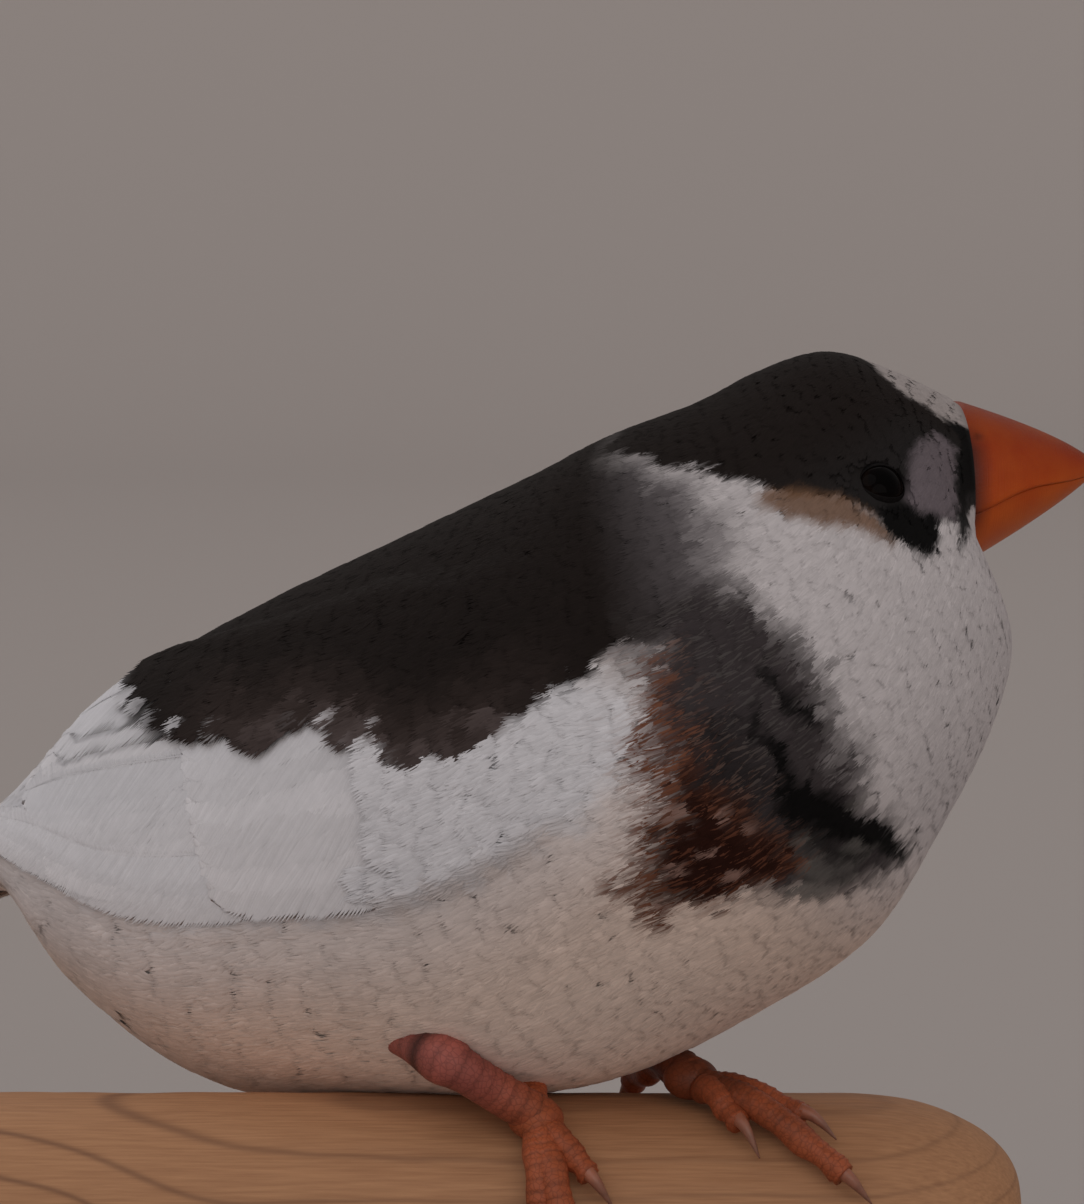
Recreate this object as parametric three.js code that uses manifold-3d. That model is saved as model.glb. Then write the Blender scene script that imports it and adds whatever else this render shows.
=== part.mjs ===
// A pied zebra finch, crouching on a short length of round wooden perch that a plain stand holds up.
// Millimetres, +Z up. The origin is the middle of the underside of the stand's base.
// The perch runs along X, and the side of the bird that faces -Y is its right side.
import * as THREE from "three";
import { mergeVertices } from "three/addons/utils/BufferGeometryUtils.js";
import Module from "manifold-3d";

const wasm = await Module();
wasm.setup();

// Driving sizes
const gap = 0.3; // what two touching pieces keep between them
const base = { length: 96, width: 64, height: 6, corner: 12, chamfer: 1 };
const rod = { radius: 2, height: 12, places: [-26, 22], socket: 3 };
const perch = { radius: 9, left: -38, right: 35.1, endReach: 11, endFace: 3, bevel: 0.8 };
const perchAxis = base.height + rod.height + perch.radius;
const perchTop = perchAxis + perch.radius;
const bird = { x: 7, y: 0.5, yaw: -32 }; // where the bird's own origin stands on the perch, and its heading
const head = { turn: 44, pivot: 13, turnFrom: 54, turnTo: 77 }; // the head looks to the bird's left
const eye = { u: 75.1, angle: 71.5, radius: 1.75, sink: 1.35, opening: [1.5, 1.15], lid: 0.45 };
const bill = { length: 9, top: 5, bottom: 5.1, wide: 3.8, tipRise: 0.9, sink: 1.2 };
const nostril = { along: 0.75, up: 2.5, length: 0.5, height: 0.28, depth: 0.5 }; // from the bill's root

// A folded wing lies on the body's side. Its feathers are placed by u and the angle round the body. Each tier
// has its first and last feather, count, width, how far it stands off the body at root and tip, and the curl
// of its feathers towards the back.
const wingCore = { front: 54.5, rear: 16, top: 50, bottom: 106, rise: 1.3, sink: 0.6 };
const wingTiers = {
  coverts: {
    count: 6, width: 5, stand: [1.3, 2], curl: 1,
    first: { root: [42, 56], tip: [29, 56] }, last: { root: [46, 100], tip: [30, 94] },
  },
  tertials: {
    count: 3, width: 7, stand: [1.2, 2], curl: 1,
    first: { root: [36, 52], tip: [15, 30] }, last: { root: [36, 63], tip: [8, 42] },
  },
  secondaries: {
    count: 5, width: 5.6, stand: [1, 1.6], curl: 1,
    first: { root: [36, 68], tip: [8, 52] }, last: { root: [37, 88], tip: [11, 78] },
  },
  primaries: {
    count: 6, width: 4.6, stand: [0.8, 1.2], curl: 2,
    first: { root: [38, 88], tip: [4, 58] }, last: { root: [42, 99], tip: [-13, 34] },
  },
};
const feather = { thickness: 0.55, tilt: 0.12, rows: 5 };
const tail = {
  length: 38, feathers: 12, width: 4.4, spread: 5, slope: -20,
  root: 3, notch: 2.5, stack: 0.32, step: 0.38, tilt: 0.1,
};

// The body is a run of oval rings. u is the distance along the spine from the tail's root, back and belly are
// the highest and lowest points of the ring in the bird's own upright plane, as [x, z], wide is its half
// width, and low moves its widest line towards the belly. The first ring lies past the body's end and only
// guides the wings.
const rings = [
  { name: "tail", u: -20, back: [-62, 9], belly: [-60.5, 3.5], wide: 3.4, low: 0 },
  { name: "tail root", u: 0, back: [-44.5, 15.6], belly: [-42.5, 10.2], wide: 4.6, low: 0 },
  { name: "vent", u: 8, back: [-38.5, 20.4], belly: [-34.5, 3.2], wide: 8, low: 0.04 },
  { name: "rump", u: 20, back: [-30.2, 26.2], belly: [-23, -1.6], wide: 12.6, low: 0.06 },
  { name: "hips", u: 32, back: [-21, 30.8], belly: [-10, -0.9], wide: 15.2, low: 0.08 },
  { name: "belly", u: 43, back: [-11.2, 35], belly: [2.2, 0.9], wide: 16.4, low: 0.1 },
  { name: "breast", u: 54.5, back: [-0.9, 39.4], belly: [13.2, 6.2], wide: 16.8, low: 0.1 },
  { name: "shoulders", u: 61, back: [4, 41.6], belly: [20.3, 11], wide: 15.6, low: 0.1 },
  { name: "neck", u: 68, back: [9.4, 43.6], belly: [25.4, 19], wide: 12.8, low: 0.12 },
  { name: "nape", u: 74, back: [13.4, 45.6], belly: [28.4, 25.4], wide: 9.9, low: 0.12 },
  { name: "eyes", u: 79, back: [17.6, 46.8], belly: [29, 29], wide: 7.6, low: 0.1 },
  { name: "lores", u: 83.5, back: [21.6, 45.7], belly: [27.3, 31.7], wide: 5.8, low: 0.04 },
  { name: "bill base", u: 86.6, back: [25.9, 43.7], belly: [26.3, 33.5], wide: 4, low: 0 },
];
const bodyEnd = rings[rings.length - 1].u;
const cuts = { breast: 49, neck: 64.5, head: 70.4 }; // where the body is parted, as distances along the spine

const radians = THREE.MathUtils.degToRad;
const lerp = THREE.MathUtils.lerp;
const smoothstep = THREE.MathUtils.smoothstep;

// A smooth curve through the values at the knots: cubic pieces whose slopes follow the two neighbours' chord.
function smoothCurve(knots, values) {
  const slope = (i) => {
    const a = Math.max(i - 1, 0);
    const b = Math.min(i + 1, knots.length - 1);
    return (values[b] - values[a]) / (knots[b] - knots[a]);
  };
  return (u) => {
    let i = 0;
    while (i < knots.length - 2 && u > knots[i + 1]) i++;
    const h = knots[i + 1] - knots[i];
    const t = (u - knots[i]) / h;
    const t2 = t * t;
    const t3 = t2 * t;
    return (
      (2 * t3 - 3 * t2 + 1) * values[i] +
      (t3 - 2 * t2 + t) * h * slope(i) +
      (3 * t2 - 2 * t3) * values[i + 1] +
      (t3 - t2) * h * slope(i + 1)
    );
  };
}

const knots = rings.map((ring) => ring.u);
const ringCurve = (size) => smoothCurve(knots, rings.map(size));
const ringAt = {
  back: { x: ringCurve((ring) => ring.back[0]), z: ringCurve((ring) => ring.back[1]) },
  belly: { x: ringCurve((ring) => ring.belly[0]), z: ringCurve((ring) => ring.belly[1]) },
  wide: ringCurve((ring) => ring.wide),
  low: ringCurve((ring) => ring.low),
};

const birdFrame = new THREE.Matrix4().makeRotationZ(radians(bird.yaw)).setPosition(bird.x, bird.y, perchTop);
const headTurnAt = (u) => radians(head.turn) * smoothstep(u, head.turnFrom, head.turnTo);

// The point of the plumage's surface at u and an angle round the ring, which is 0 on the back, 90 on the
// right and 180 on the belly
function skinPoint(u, degrees, grow = 0) {
  const up = Math.cos(radians(degrees));
  const out = Math.sin(radians(degrees));
  const back = new THREE.Vector2(ringAt.back.x(u), ringAt.back.z(u));
  const belly = new THREE.Vector2(ringAt.belly.x(u), ringAt.belly.z(u));
  const half = back.clone().sub(belly).multiplyScalar(0.5);
  const grown = half.clone().setLength(half.length() + grow);
  const place = back.add(belly).multiplyScalar(0.5).addScaledVector(grown, up);
  const right = (ringAt.wide(u) + grow) * out * (1 - ringAt.low(u) * up);
  const ahead = place.x - head.pivot;
  const turn = headTurnAt(u);
  return new THREE.Vector3(
    head.pivot + ahead * Math.cos(turn) + right * Math.sin(turn),
    ahead * Math.sin(turn) - right * Math.cos(turn),
    place.y,
  ).applyMatrix4(birdFrame);
}

// The direction straight out of the plumage at u and an angle.
function skinNormal(u, degrees) {
  const along = skinPoint(u + 0.5, degrees).sub(skinPoint(u - 0.5, degrees));
  const around = skinPoint(u, degrees + 2).sub(skinPoint(u, degrees - 2));
  return around.cross(along).normalize();
}

// A three.js geometry as a solid, turned right side out.
function solid(geometry) {
  const bare = new THREE.BufferGeometry().setAttribute("position", geometry.getAttribute("position"));
  if (geometry.index) bare.setIndex(geometry.index);
  const merged = mergeVertices(bare, 1e-4);
  const vertProperties = new Float32Array(merged.attributes.position.array);
  const triVerts = new Uint32Array(merged.index.array);
  const made = new wasm.Manifold(new wasm.Mesh({ numProp: 3, vertProperties, triVerts }));
  if (made.volume() > 0) return made;
  for (let i = 0; i < triVerts.length; i += 3) {
    const second = triVerts[i + 1];
    triVerts[i + 1] = triVerts[i + 2];
    triVerts[i + 2] = second;
  }
  return new wasm.Manifold(new wasm.Mesh({ numProp: 3, vertProperties, triVerts }));
}

// A closed solid from rings of points, all with the same count, with a flat fan over each end.
function lofted(ringPoints) {
  const count = ringPoints[0].length;
  const points = ringPoints.flat();
  const faces = [];
  for (let i = 0; i + 1 < ringPoints.length; i++)
    for (let j = 0; j < count; j++) {
      const a = i * count + j;
      const b = i * count + ((j + 1) % count);
      faces.push(a, b, a + count, b, b + count, a + count);
    }
  const last = ringPoints.length - 1;
  for (const row of [0, last]) {
    const middle = points.length;
    points.push(ringPoints[row].reduce((sum, p) => sum.add(p), new THREE.Vector3()).divideScalar(count));
    for (let j = 0; j < count; j++) {
      const a = row * count + j;
      const b = row * count + ((j + 1) % count);
      faces.push(middle, row ? a : b, row ? b : a);
    }
  }
  return solid(new THREE.BufferGeometry().setFromPoints(points).setIndex(faces));
}

// A round limb along a smooth curve through the points, with its radius given at each point.
function limb(points, radii, steps = 12, sides = 8) {
  const curve = new THREE.CatmullRomCurve3(points, false, "centripetal");
  const radiusAt = smoothCurve(radii.map((_, i) => i / (radii.length - 1)), radii);
  const frames = curve.computeFrenetFrames(steps, false);
  const made = [];
  for (let i = 0; i <= steps; i++) {
    const centre = curve.getPointAt(i / steps);
    const radius = radiusAt(i / steps);
    made.push(
      Array.from({ length: sides }, (_, j) => {
        const turn = (2 * Math.PI * j) / sides;
        return centre
          .clone()
          .addScaledVector(frames.normals[i], radius * Math.cos(turn))
          .addScaledVector(frames.binormals[i], radius * Math.sin(turn));
      }),
    );
  }
  return lofted(made);
}

function ball(centre, radius, width = 12, height = 8) {
  return solid(new THREE.SphereGeometry(radius, width, height).translate(centre.x, centre.y, centre.z));
}

const joined = (solids) => solids.reduce((sum, next) => sum.add(next));

// The whole body without bill, wings, tail and legs, grown outwards and moved on as its neighbours need it
function bodySolid(grow = 0, move = new THREE.Vector3(), rows = 36, columns = 28) {
  const made = [];
  for (let i = 0; i <= rows; i++) {
    const u = lerp(-grow, bodyEnd + grow, i / rows);
    made.push(Array.from({ length: columns }, (_, j) => skinPoint(u, (360 * j) / columns, grow).add(move)));
  }
  return lofted(made);
}

// A thin sheet across the spine at u, which parts the body there
function partingSheet(u) {
  const middle = skinPoint(u, 0).add(skinPoint(u, 180)).multiplyScalar(0.5);
  const side = skinPoint(u, 90).sub(skinPoint(u, -90)).normalize();
  const up = skinPoint(u, 0).sub(skinPoint(u, 180)).normalize();
  const ahead = up.clone().cross(side).normalize();
  const frame = new THREE.Matrix4().makeBasis(ahead, side, ahead.clone().cross(side)).setPosition(middle);
  return solid(new THREE.BoxGeometry(gap, 60, 60).applyMatrix4(frame));
}

// A feather as a thin vane of even thickness. Its shaft runs through centres, acrosses and outs are each
// row's directions, and both faces are split alike so that they never cross.
function vane(centres, acrosses, outs, width, thickness, tilt = feather.tilt) {
  const rows = centres.length - 1;
  const points = [];
  for (const face of [1, -1])
    for (let i = 0; i <= rows; i++) {
      const t = i / rows;
      const half = (width / 2) * Math.min(1, 0.5 + 2.2 * t) * Math.sqrt(Math.max(0.03, 1 - t ** 6));
      const thick = (thickness / 2) * (t > 0.9 ? 0.7 : 1);
      for (const k of [-1, 0, 1]) {
        const drop = k ? -(half * half) / 34 : 0.12 * face;
        points.push(
          centres[i]
            .clone()
            .addScaledVector(acrosses[i], k * half)
            .addScaledVector(outs[i], drop + k * half * tilt + face * thick * (k ? 0.8 : 1)),
        );
      }
    }
  const faces = [];
  const far = 3 * (rows + 1);
  for (let i = 0; i < rows; i++)
    for (const k of [0, 1]) {
      const a = 3 * i + k;
      faces.push(a, a + 1, a + 3, a + 1, a + 4, a + 3);
      faces.push(far + a, far + a + 3, far + a + 1, far + a + 1, far + a + 3, far + a + 4);
    }
  const edge = (a, b) => faces.push(a, b, far + a, b, far + b, far + a);
  for (let i = 0; i < rows; i++) {
    edge(3 * i, 3 * i + 3);
    edge(3 * i + 5, 3 * i + 2);
  }
  for (const k of [0, 1]) {
    edge(k + 1, k);
    edge(3 * rows + k, 3 * rows + k + 1);
  }
  return solid(new THREE.BufferGeometry().setFromPoints(points).setIndex(faces));
}

// A feather on the body's side from root to tip, both as [u, angle]; side is 1 for the right wing and -1 for
// the left one.
function wingFeather(side, root, tip, { width, stand, curl }) {
  const centres = [];
  const acrosses = [];
  const outs = [];
  for (let i = 0; i <= feather.rows; i++) {
    const t = i / feather.rows;
    const u = (f) => lerp(root[0], tip[0], f);
    const angle = (f) => side * lerp(root[1], tip[1], Math.max(f, 0) ** curl);
    const at = (f) => skinPoint(u(f), angle(f), lerp(...stand, f));
    const out = skinNormal(u(t), angle(t));
    const along = at(t + 0.02).sub(at(t - 0.02)).normalize();
    centres.push(at(t));
    outs.push(out);
    acrosses.push(out.clone().cross(along).multiplyScalar(side).normalize());
  }
  return vane(centres, acrosses, outs, width, feather.thickness);
}

// The wing's arm and hand under its coverts: a cushion on the body's side that thins out to all edges
function wingCoreSolid(side) {
  const made = [];
  const rows = 10;
  const columns = 7;
  for (let i = 0; i <= rows; i++) {
    const t = i / rows;
    const u = lerp(wingCore.front, wingCore.rear, t);
    const narrow = Math.sqrt(Math.max(0.02, 1 - (2 * t - 1) ** 4));
    const middle = (wingCore.top + wingCore.bottom) / 2 - 8 * t;
    const reach = ((wingCore.bottom - wingCore.top) / 2) * narrow;
    const ring = [];
    for (const face of [0, 1])
      for (let j = 0; j <= columns; j++) {
        const across = face ? 1 - j / columns : j / columns;
        const angle = middle + reach * (2 * across - 1);
        const crown = Math.sqrt(Math.sin(Math.PI * lerp(0.06, 0.94, across)));
        const rise = face ? wingCore.rise * narrow * crown : -wingCore.sink;
        ring.push(skinPoint(u, side * angle, rise + gap));
      }
    made.push(ring);
  }
  return lofted(made);
}

function wingSolid(side) {
  const pieces = [wingCoreSolid(side)];
  for (const tier of Object.values(wingTiers))
    for (let i = 0; i < tier.count; i++) {
      const t = i / (tier.count - 1);
      const between = (a, b) => [lerp(a[0], b[0], t), lerp(a[1], b[1], t)];
      const stand = tier.stand.map((height) => height + gap + 0.5 * (1 - t));
      const root = between(tier.first.root, tier.last.root);
      pieces.push(wingFeather(side, root, between(tier.first.tip, tier.last.tip), { ...tier, stand }));
    }
  return joined(pieces);
}

// The tail is a narrow fan of feathers, the middle pair on top, out of a tapered root.
const tailFrame = birdFrame
  .clone()
  .multiply(new THREE.Matrix4().makeTranslation(rings[1].back[0] + 3, 0, 13.4))
  .multiply(new THREE.Matrix4().makeRotationY(radians(tail.slope)));

// The oval rings of the tail's root and its coverts, x being the distance ahead of the tail's start
const tailRoot = [
  { x: 2, wide: 3.6, top: 2.2, bottom: -2.4 },
  { x: -6, wide: 3.6, top: 1.9, bottom: -2.3 },
  { x: -14, wide: 2.6, top: 1.5, bottom: -1.6 },
  { x: -19, wide: 1, top: 1, bottom: -0.8 },
];

function tailFeather(rank, side) {
  const fan = radians((tail.spread / 2) * (rank / (tail.feathers / 2 - 1)) * side);
  const layer = rank + (side > 0 ? 0.5 : 0);
  const start = new THREE.Vector3(0, (0.6 + tail.step * rank) * side, 1.2 - tail.stack * layer);
  const ahead = new THREE.Vector3(-Math.cos(fan), Math.sin(fan), 0);
  const length = tail.length + tail.root - tail.notch * Math.abs(rank / 5 - 0.7);
  const centres = [];
  const rows = 5;
  for (let i = 0; i <= rows; i++) centres.push(start.clone().addScaledVector(ahead, (length * i) / rows));
  const turned = (v) => v.clone().transformDirection(tailFrame);
  const across = turned(new THREE.Vector3(ahead.y, -ahead.x, 0).multiplyScalar(side));
  const up = turned(new THREE.Vector3(0, 0, 1));
  const same = (v) => centres.map(() => v);
  const placed = centres.map((p) => p.applyMatrix4(tailFrame));
  return vane(placed, same(across), same(up), tail.width, feather.thickness, -tail.tilt);
}

function tailSolid() {
  const pieces = [];
  const core = [];
  for (const { x, wide, top, bottom } of tailRoot)
    core.push(
      Array.from({ length: 10 }, (_, j) => {
        const turn = (2 * Math.PI * j) / 10;
        const z = (top + bottom) / 2 + ((top - bottom) / 2) * Math.cos(turn);
        return new THREE.Vector3(x, wide * Math.sin(turn), z).applyMatrix4(tailFrame);
      }),
    );
  pieces.push(lofted(core));
  for (let rank = 0; rank < tail.feathers / 2; rank++)
    for (const side of [1, -1]) pieces.push(tailFeather(rank, side));
  return joined(pieces);
}

// Legs and feet. A foot's middle sits on the perch at x along it, turned by around degrees from its top
// towards -Y. Each toe winds along the perch's surface: heading 0 is along +X and 90 down the -Y side.
const legs = {
  right: {
    hip: [-5.8, -3.8, 4.3], heel: [-1, -8.3, 3.4], foot: { x: 4.7, around: 37 }, tarsus: 1.35,
    toes: [
      { name: "middle", heading: 76, length: 10.5, radius: 1.05 },
      { name: "inner", heading: 50, length: 5.2, radius: 0.95 },
      { name: "outer", heading: 87, length: 8, radius: 0.95 },
      { name: "hind", heading: 262, length: 8.5, radius: 1.05 },
    ],
  },
  left: {
    hip: [8.6, 6, 7.5], heel: [10.8, 3, 3.4], foot: { x: 14.4, around: 12 }, tarsus: 1.2,
    toes: [
      { name: "middle", heading: 42, length: 12.5, radius: 1.05 },
      { name: "inner", heading: 58, length: 5.5, radius: 0.95 },
      { name: "outer", heading: 30, length: 8, radius: 0.95 },
      { name: "hind", heading: 245, length: 8.5, radius: 1.05 },
    ],
  },
};
const claw = { length: 2.4, radius: 0.5, tip: 0.12, arch: 1.5 };

// A point over the perch: x along it, degrees round it from the top towards -Y, and height off its surface
function overPerch(x, degrees, height) {
  const turn = radians(degrees);
  const reach = perch.radius + height;
  return new THREE.Vector3(x, -reach * Math.sin(turn), perchAxis + reach * Math.cos(turn));
}

function toeSolid(foot, toe, grow) {
  const heading = radians(toe.heading);
  const arcDegrees = (mm) => THREE.MathUtils.radToDeg(mm / (perch.radius + toe.radius));
  const at = (mm, height) =>
    overPerch(foot.x + mm * Math.cos(heading), foot.around + arcDegrees(mm * Math.sin(heading)), height);
  const points = [];
  const radii = [];
  const joints = 6;
  for (let i = 0; i <= joints; i++) {
    const knuckle = i % 2 ? 0.9 : 1.04;
    points.push(at((toe.length * i) / joints, gap + toe.radius + (i === 3 ? 0.5 : 0.15)));
    radii.push(toe.radius * knuckle * lerp(1.1, 0.82, i / joints) + grow);
  }
  const digit = limb(points, radii, 10, 7);
  const nailRoot = at(toe.length - 0.8, gap + 1.1);
  const nailArch = at(toe.length + 1.4, gap + claw.arch);
  const nailTip = at(toe.length + claw.length, gap + claw.tip + 0.2);
  const nail = limb([nailRoot, nailArch, nailTip], [claw.radius * 1.2, claw.radius, claw.tip], 4, 6);
  return digit.add(nail);
}

function footSolid(leg, grow = 0) {
  const pad = ball(overPerch(leg.foot.x, leg.foot.around, gap + 1.3), 1.5 + grow, 10, 8);
  return joined([pad, ...leg.toes.map((toe) => toeSolid(leg.foot, toe, grow))]);
}

function legSolid(leg) {
  const onPerch = ([x, y, z]) => new THREE.Vector3(x, y, perchTop + z);
  const ankle = overPerch(leg.foot.x, leg.foot.around, gap + 1.6);
  const r = leg.tarsus;
  return limb([onPerch(leg.hip), onPerch(leg.heel), ankle], [r * 1.1, r * 1.25, r], 10, 10);
}

// The bill is one cone of ovals, parted by a thin sheet along the line of the mouth.
const billFrame = new THREE.Matrix4()
  .makeRotationZ(radians(bird.yaw + head.turn))
  .setPosition(skinPoint(bodyEnd, 0).add(skinPoint(bodyEnd, 180)).multiplyScalar(0.5));
const billAhead = new THREE.Vector3().setFromMatrixColumn(billFrame, 0);
const billTop = (t) => bill.tipRise * t + bill.top * (1 - t) ** 0.72;
const billBottom = (t) => bill.tipRise * t - bill.bottom * (1 - t) ** 0.8;
const mouthLine = (t) => lerp(-1.7, bill.tipRise - 0.25, t) + 0.9 * Math.sin(Math.PI * t) ** 2 * (1 - t);

function billSolid() {
  const made = [];
  const rows = 12;
  const sides = 20;
  for (let i = 0; i <= rows; i++) {
    const t = lerp(-bill.sink / bill.length, 0.992, Math.sin((Math.PI / 2) * (i / rows)));
    const s = Math.max(t, 0);
    const top = billTop(s);
    const bottom = billBottom(s);
    const wide = bill.wide * (1 - s ** 1.5) ** 0.8;
    made.push(
      Array.from({ length: sides }, (_, j) => {
        const turn = (2 * Math.PI * j) / sides;
        const z = (top + bottom) / 2 + ((top - bottom) / 2) * Math.cos(turn);
        return new THREE.Vector3(t * bill.length, wide * Math.sin(turn), z).applyMatrix4(billFrame);
      }),
    );
  }
  return lofted(made);
}

function mouthSheet() {
  const made = [];
  for (let i = 0; i <= 8; i++) {
    const t = lerp(-0.3, 1.3, i / 8);
    const z = mouthLine(Math.min(Math.max(t, 0), 1));
    const corner = (y, dz) => new THREE.Vector3(t * bill.length, y, z + dz).applyMatrix4(billFrame);
    made.push([corner(-8, -gap / 2), corner(8, -gap / 2), corner(8, gap / 2), corner(-8, gap / 2)]);
  }
  return lofted(made);
}

// Eyes: a ball behind two lids that leave an oval opening
function eyePlace(side) {
  const out = skinNormal(eye.u, side * eye.angle);
  const centre = skinPoint(eye.u, side * eye.angle).addScaledVector(out, -eye.sink);
  const ahead = billAhead.clone().addScaledVector(out, -billAhead.dot(out)).normalize();
  const up = out.clone().cross(ahead).multiplyScalar(side).normalize();
  return { centre, out, frame: new THREE.Matrix4().makeBasis(ahead, up, out).setPosition(centre) };
}

function lidsSolid(side) {
  const lids = new THREE.SphereGeometry(eye.radius + gap + eye.lid, 14, 10);
  const [wide, tall] = eye.opening;
  const opening = new THREE.SphereGeometry(1, 14, 6).scale(wide, tall, 6).translate(0, 0, 5.2);
  const { frame } = eyePlace(side);
  return { lids: solid(lids.applyMatrix4(frame)), opening: solid(opening.applyMatrix4(frame)) };
}

// The perch and its stand
function perchSolid(grow = 0) {
  const r = perch.radius + grow;
  const left = perch.left - grow;
  const right = perch.right + grow;
  const profile = [new THREE.Vector2(0, left), new THREE.Vector2(r - perch.bevel, left)];
  profile.push(new THREE.Vector2(r, left + perch.bevel));
  for (let i = 0; i <= 8; i++) {
    const turn = (Math.PI / 2) * (i / 8);
    const across = perch.endFace + (r - perch.endFace) * Math.cos(turn);
    profile.push(new THREE.Vector2(across, right - perch.endReach * (1 - Math.sin(turn))));
  }
  profile.push(new THREE.Vector2(0, right));
  const turned = new THREE.LatheGeometry(profile, 28).rotateZ(-Math.PI / 2).translate(0, 0, perchAxis);
  return solid(turned);
}

function baseSolid() {
  const outline = new THREE.Shape();
  const x = base.length / 2 - base.chamfer;
  const y = base.width / 2 - base.chamfer;
  const r = base.corner;
  outline.moveTo(r - x, -y).lineTo(x - r, -y).absarc(x - r, r - y, r, -Math.PI / 2, 0);
  outline.lineTo(x, y - r).absarc(x - r, y - r, r, 0, Math.PI / 2);
  outline.lineTo(r - x, y).absarc(r - x, y - r, r, Math.PI / 2, Math.PI);
  outline.lineTo(-x, r - y).absarc(r - x, r - y, r, Math.PI, 1.5 * Math.PI);
  const bevel = base.chamfer;
  const edge = { bevelEnabled: true, bevelSize: bevel, bevelThickness: bevel, bevelSegments: 1 };
  const depth = base.height - 2 * base.chamfer;
  const plate = new THREE.ExtrudeGeometry(outline, { depth, curveSegments: 6, ...edge });
  return solid(plate.translate(0, 0, base.chamfer));
}

function rodSolid(x, radius, bottom, top) {
  const shaft = new THREE.CylinderGeometry(radius, radius, top - bottom, 16).rotateX(Math.PI / 2);
  return solid(shaft.translate(x, 0, (bottom + top) / 2));
}

function nostrilSolid(side) {
  const t = nostril.along / bill.length;
  const middle = (billTop(t) + billBottom(t)) / 2;
  const share = (nostril.up - middle) / ((billTop(t) - billBottom(t)) / 2);
  const y = side * bill.wide * Math.sqrt(1 - share * share);
  const slot = new THREE.SphereGeometry(1, 8, 6).scale(nostril.length, nostril.depth, nostril.height);
  return solid(slot.translate(nostril.along, y, nostril.up).applyMatrix4(billFrame));
}

// Colours
const colour = {
  plumage: new THREE.MeshStandardMaterial({ color: 0xd8d3ce, roughness: 0.9 }),
  wing: new THREE.MeshStandardMaterial({ color: 0xc9c9cc, roughness: 0.8 }),
  tail: new THREE.MeshStandardMaterial({ color: 0x4a433f, roughness: 0.9 }),
  bill: new THREE.MeshStandardMaterial({ color: 0xd8662a, roughness: 0.45 }),
  eye: new THREE.MeshStandardMaterial({ color: 0x120d0b, roughness: 0.1 }),
  leg: new THREE.MeshStandardMaterial({ color: 0xb5684a, roughness: 0.6 }),
  perch: new THREE.MeshStandardMaterial({ color: 0xc09a74, roughness: 0.75 }),
  stand: new THREE.MeshStandardMaterial({ color: 0x2b2724, roughness: 0.5 }),
};

const part = new THREE.Group();
part.name = "zebra_finch";

// Adds a solid's largest closed surface as a named mesh.
function addNode(name, made, material) {
  const whole = made.decompose().sort((a, b) => b.volume() - a.volume())[0];
  const mesh = whole.getMesh();
  const geometry = new THREE.BufferGeometry()
    .setAttribute("position", new THREE.BufferAttribute(mesh.vertProperties, 3))
    .setIndex(new THREE.BufferAttribute(mesh.triVerts, 1));
  geometry.computeVertexNormals();
  const node = new THREE.Mesh(geometry, material);
  node.name = name;
  part.add(node);
}

// The body, parted by thin sheets across the spine, and cleared of the perch that it rests on
const grownPerch = perchSolid(gap);
const sheets = Object.values(cuts).map(partingSheet);
const bodyPieces = bodySolid().subtract(joined(sheets)).subtract(grownPerch).decompose();
bodyPieces.sort((a, b) => a.boundingBox().max[0] - b.boundingBox().max[0]);
const [torso, breast, neck, bareHead] = bodyPieces;
const grownBody = bodySolid(gap);
const sides = { right: 1, left: -1 };

let headSolid = bareHead;
for (const [name, side] of Object.entries(sides)) {
  const { centre } = eyePlace(side);
  const { lids, opening } = lidsSolid(side);
  headSolid = headSolid.add(lids).subtract(ball(centre, eye.radius + gap, 14, 10)).subtract(opening);
  addNode(`eye_${name}`, ball(centre, eye.radius, 14, 9), colour.eye);
}
addNode("head", headSolid, colour.plumage);
addNode("neck", neck, colour.plumage);
addNode("breast", breast, colour.plumage);
addNode("torso", torso, colour.plumage);

const movedBody = bodySolid(0, billAhead.clone().multiplyScalar(gap));
const billParts = billSolid().subtract(grownBody).subtract(movedBody).subtract(mouthSheet());
const billPieces = billParts.subtract(nostrilSolid(1)).subtract(nostrilSolid(-1)).decompose();
billPieces.sort((a, b) => b.boundingBox().max[2] - a.boundingBox().max[2]);
addNode("bill_upper", billPieces[0], colour.bill);
addNode("bill_lower", billPieces[1], colour.bill);

for (const [name, side] of Object.entries(sides))
  addNode(`wing_${name}`, wingSolid(side).subtract(grownBody), colour.wing);
addNode("tail", tailSolid().subtract(grownBody), colour.tail);

for (const [name, leg] of Object.entries(legs)) {
  const shank = legSolid(leg).subtract(footSolid(leg, gap));
  addNode(`leg_${name}`, shank.subtract(grownBody).subtract(grownPerch), colour.leg);
  addNode(`foot_${name}`, footSolid(leg).subtract(grownBody).subtract(grownPerch), colour.leg);
}

// The perch is bored for the rods, which stand on the base.
const rodTop = base.height + rod.height + rod.socket;
let boredPerch = perchSolid();
rod.places.forEach((x, i) => {
  boredPerch = boredPerch.subtract(rodSolid(x, rod.radius + gap, base.height, rodTop + gap));
  addNode(`stand_rod_${i + 1}`, rodSolid(x, rod.radius, base.height + gap, rodTop), colour.stand);
});
addNode("perch", boredPerch, colour.perch);
addNode("stand_base", baseSolid(), colour.stand);

export default part;
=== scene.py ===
import math

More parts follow.
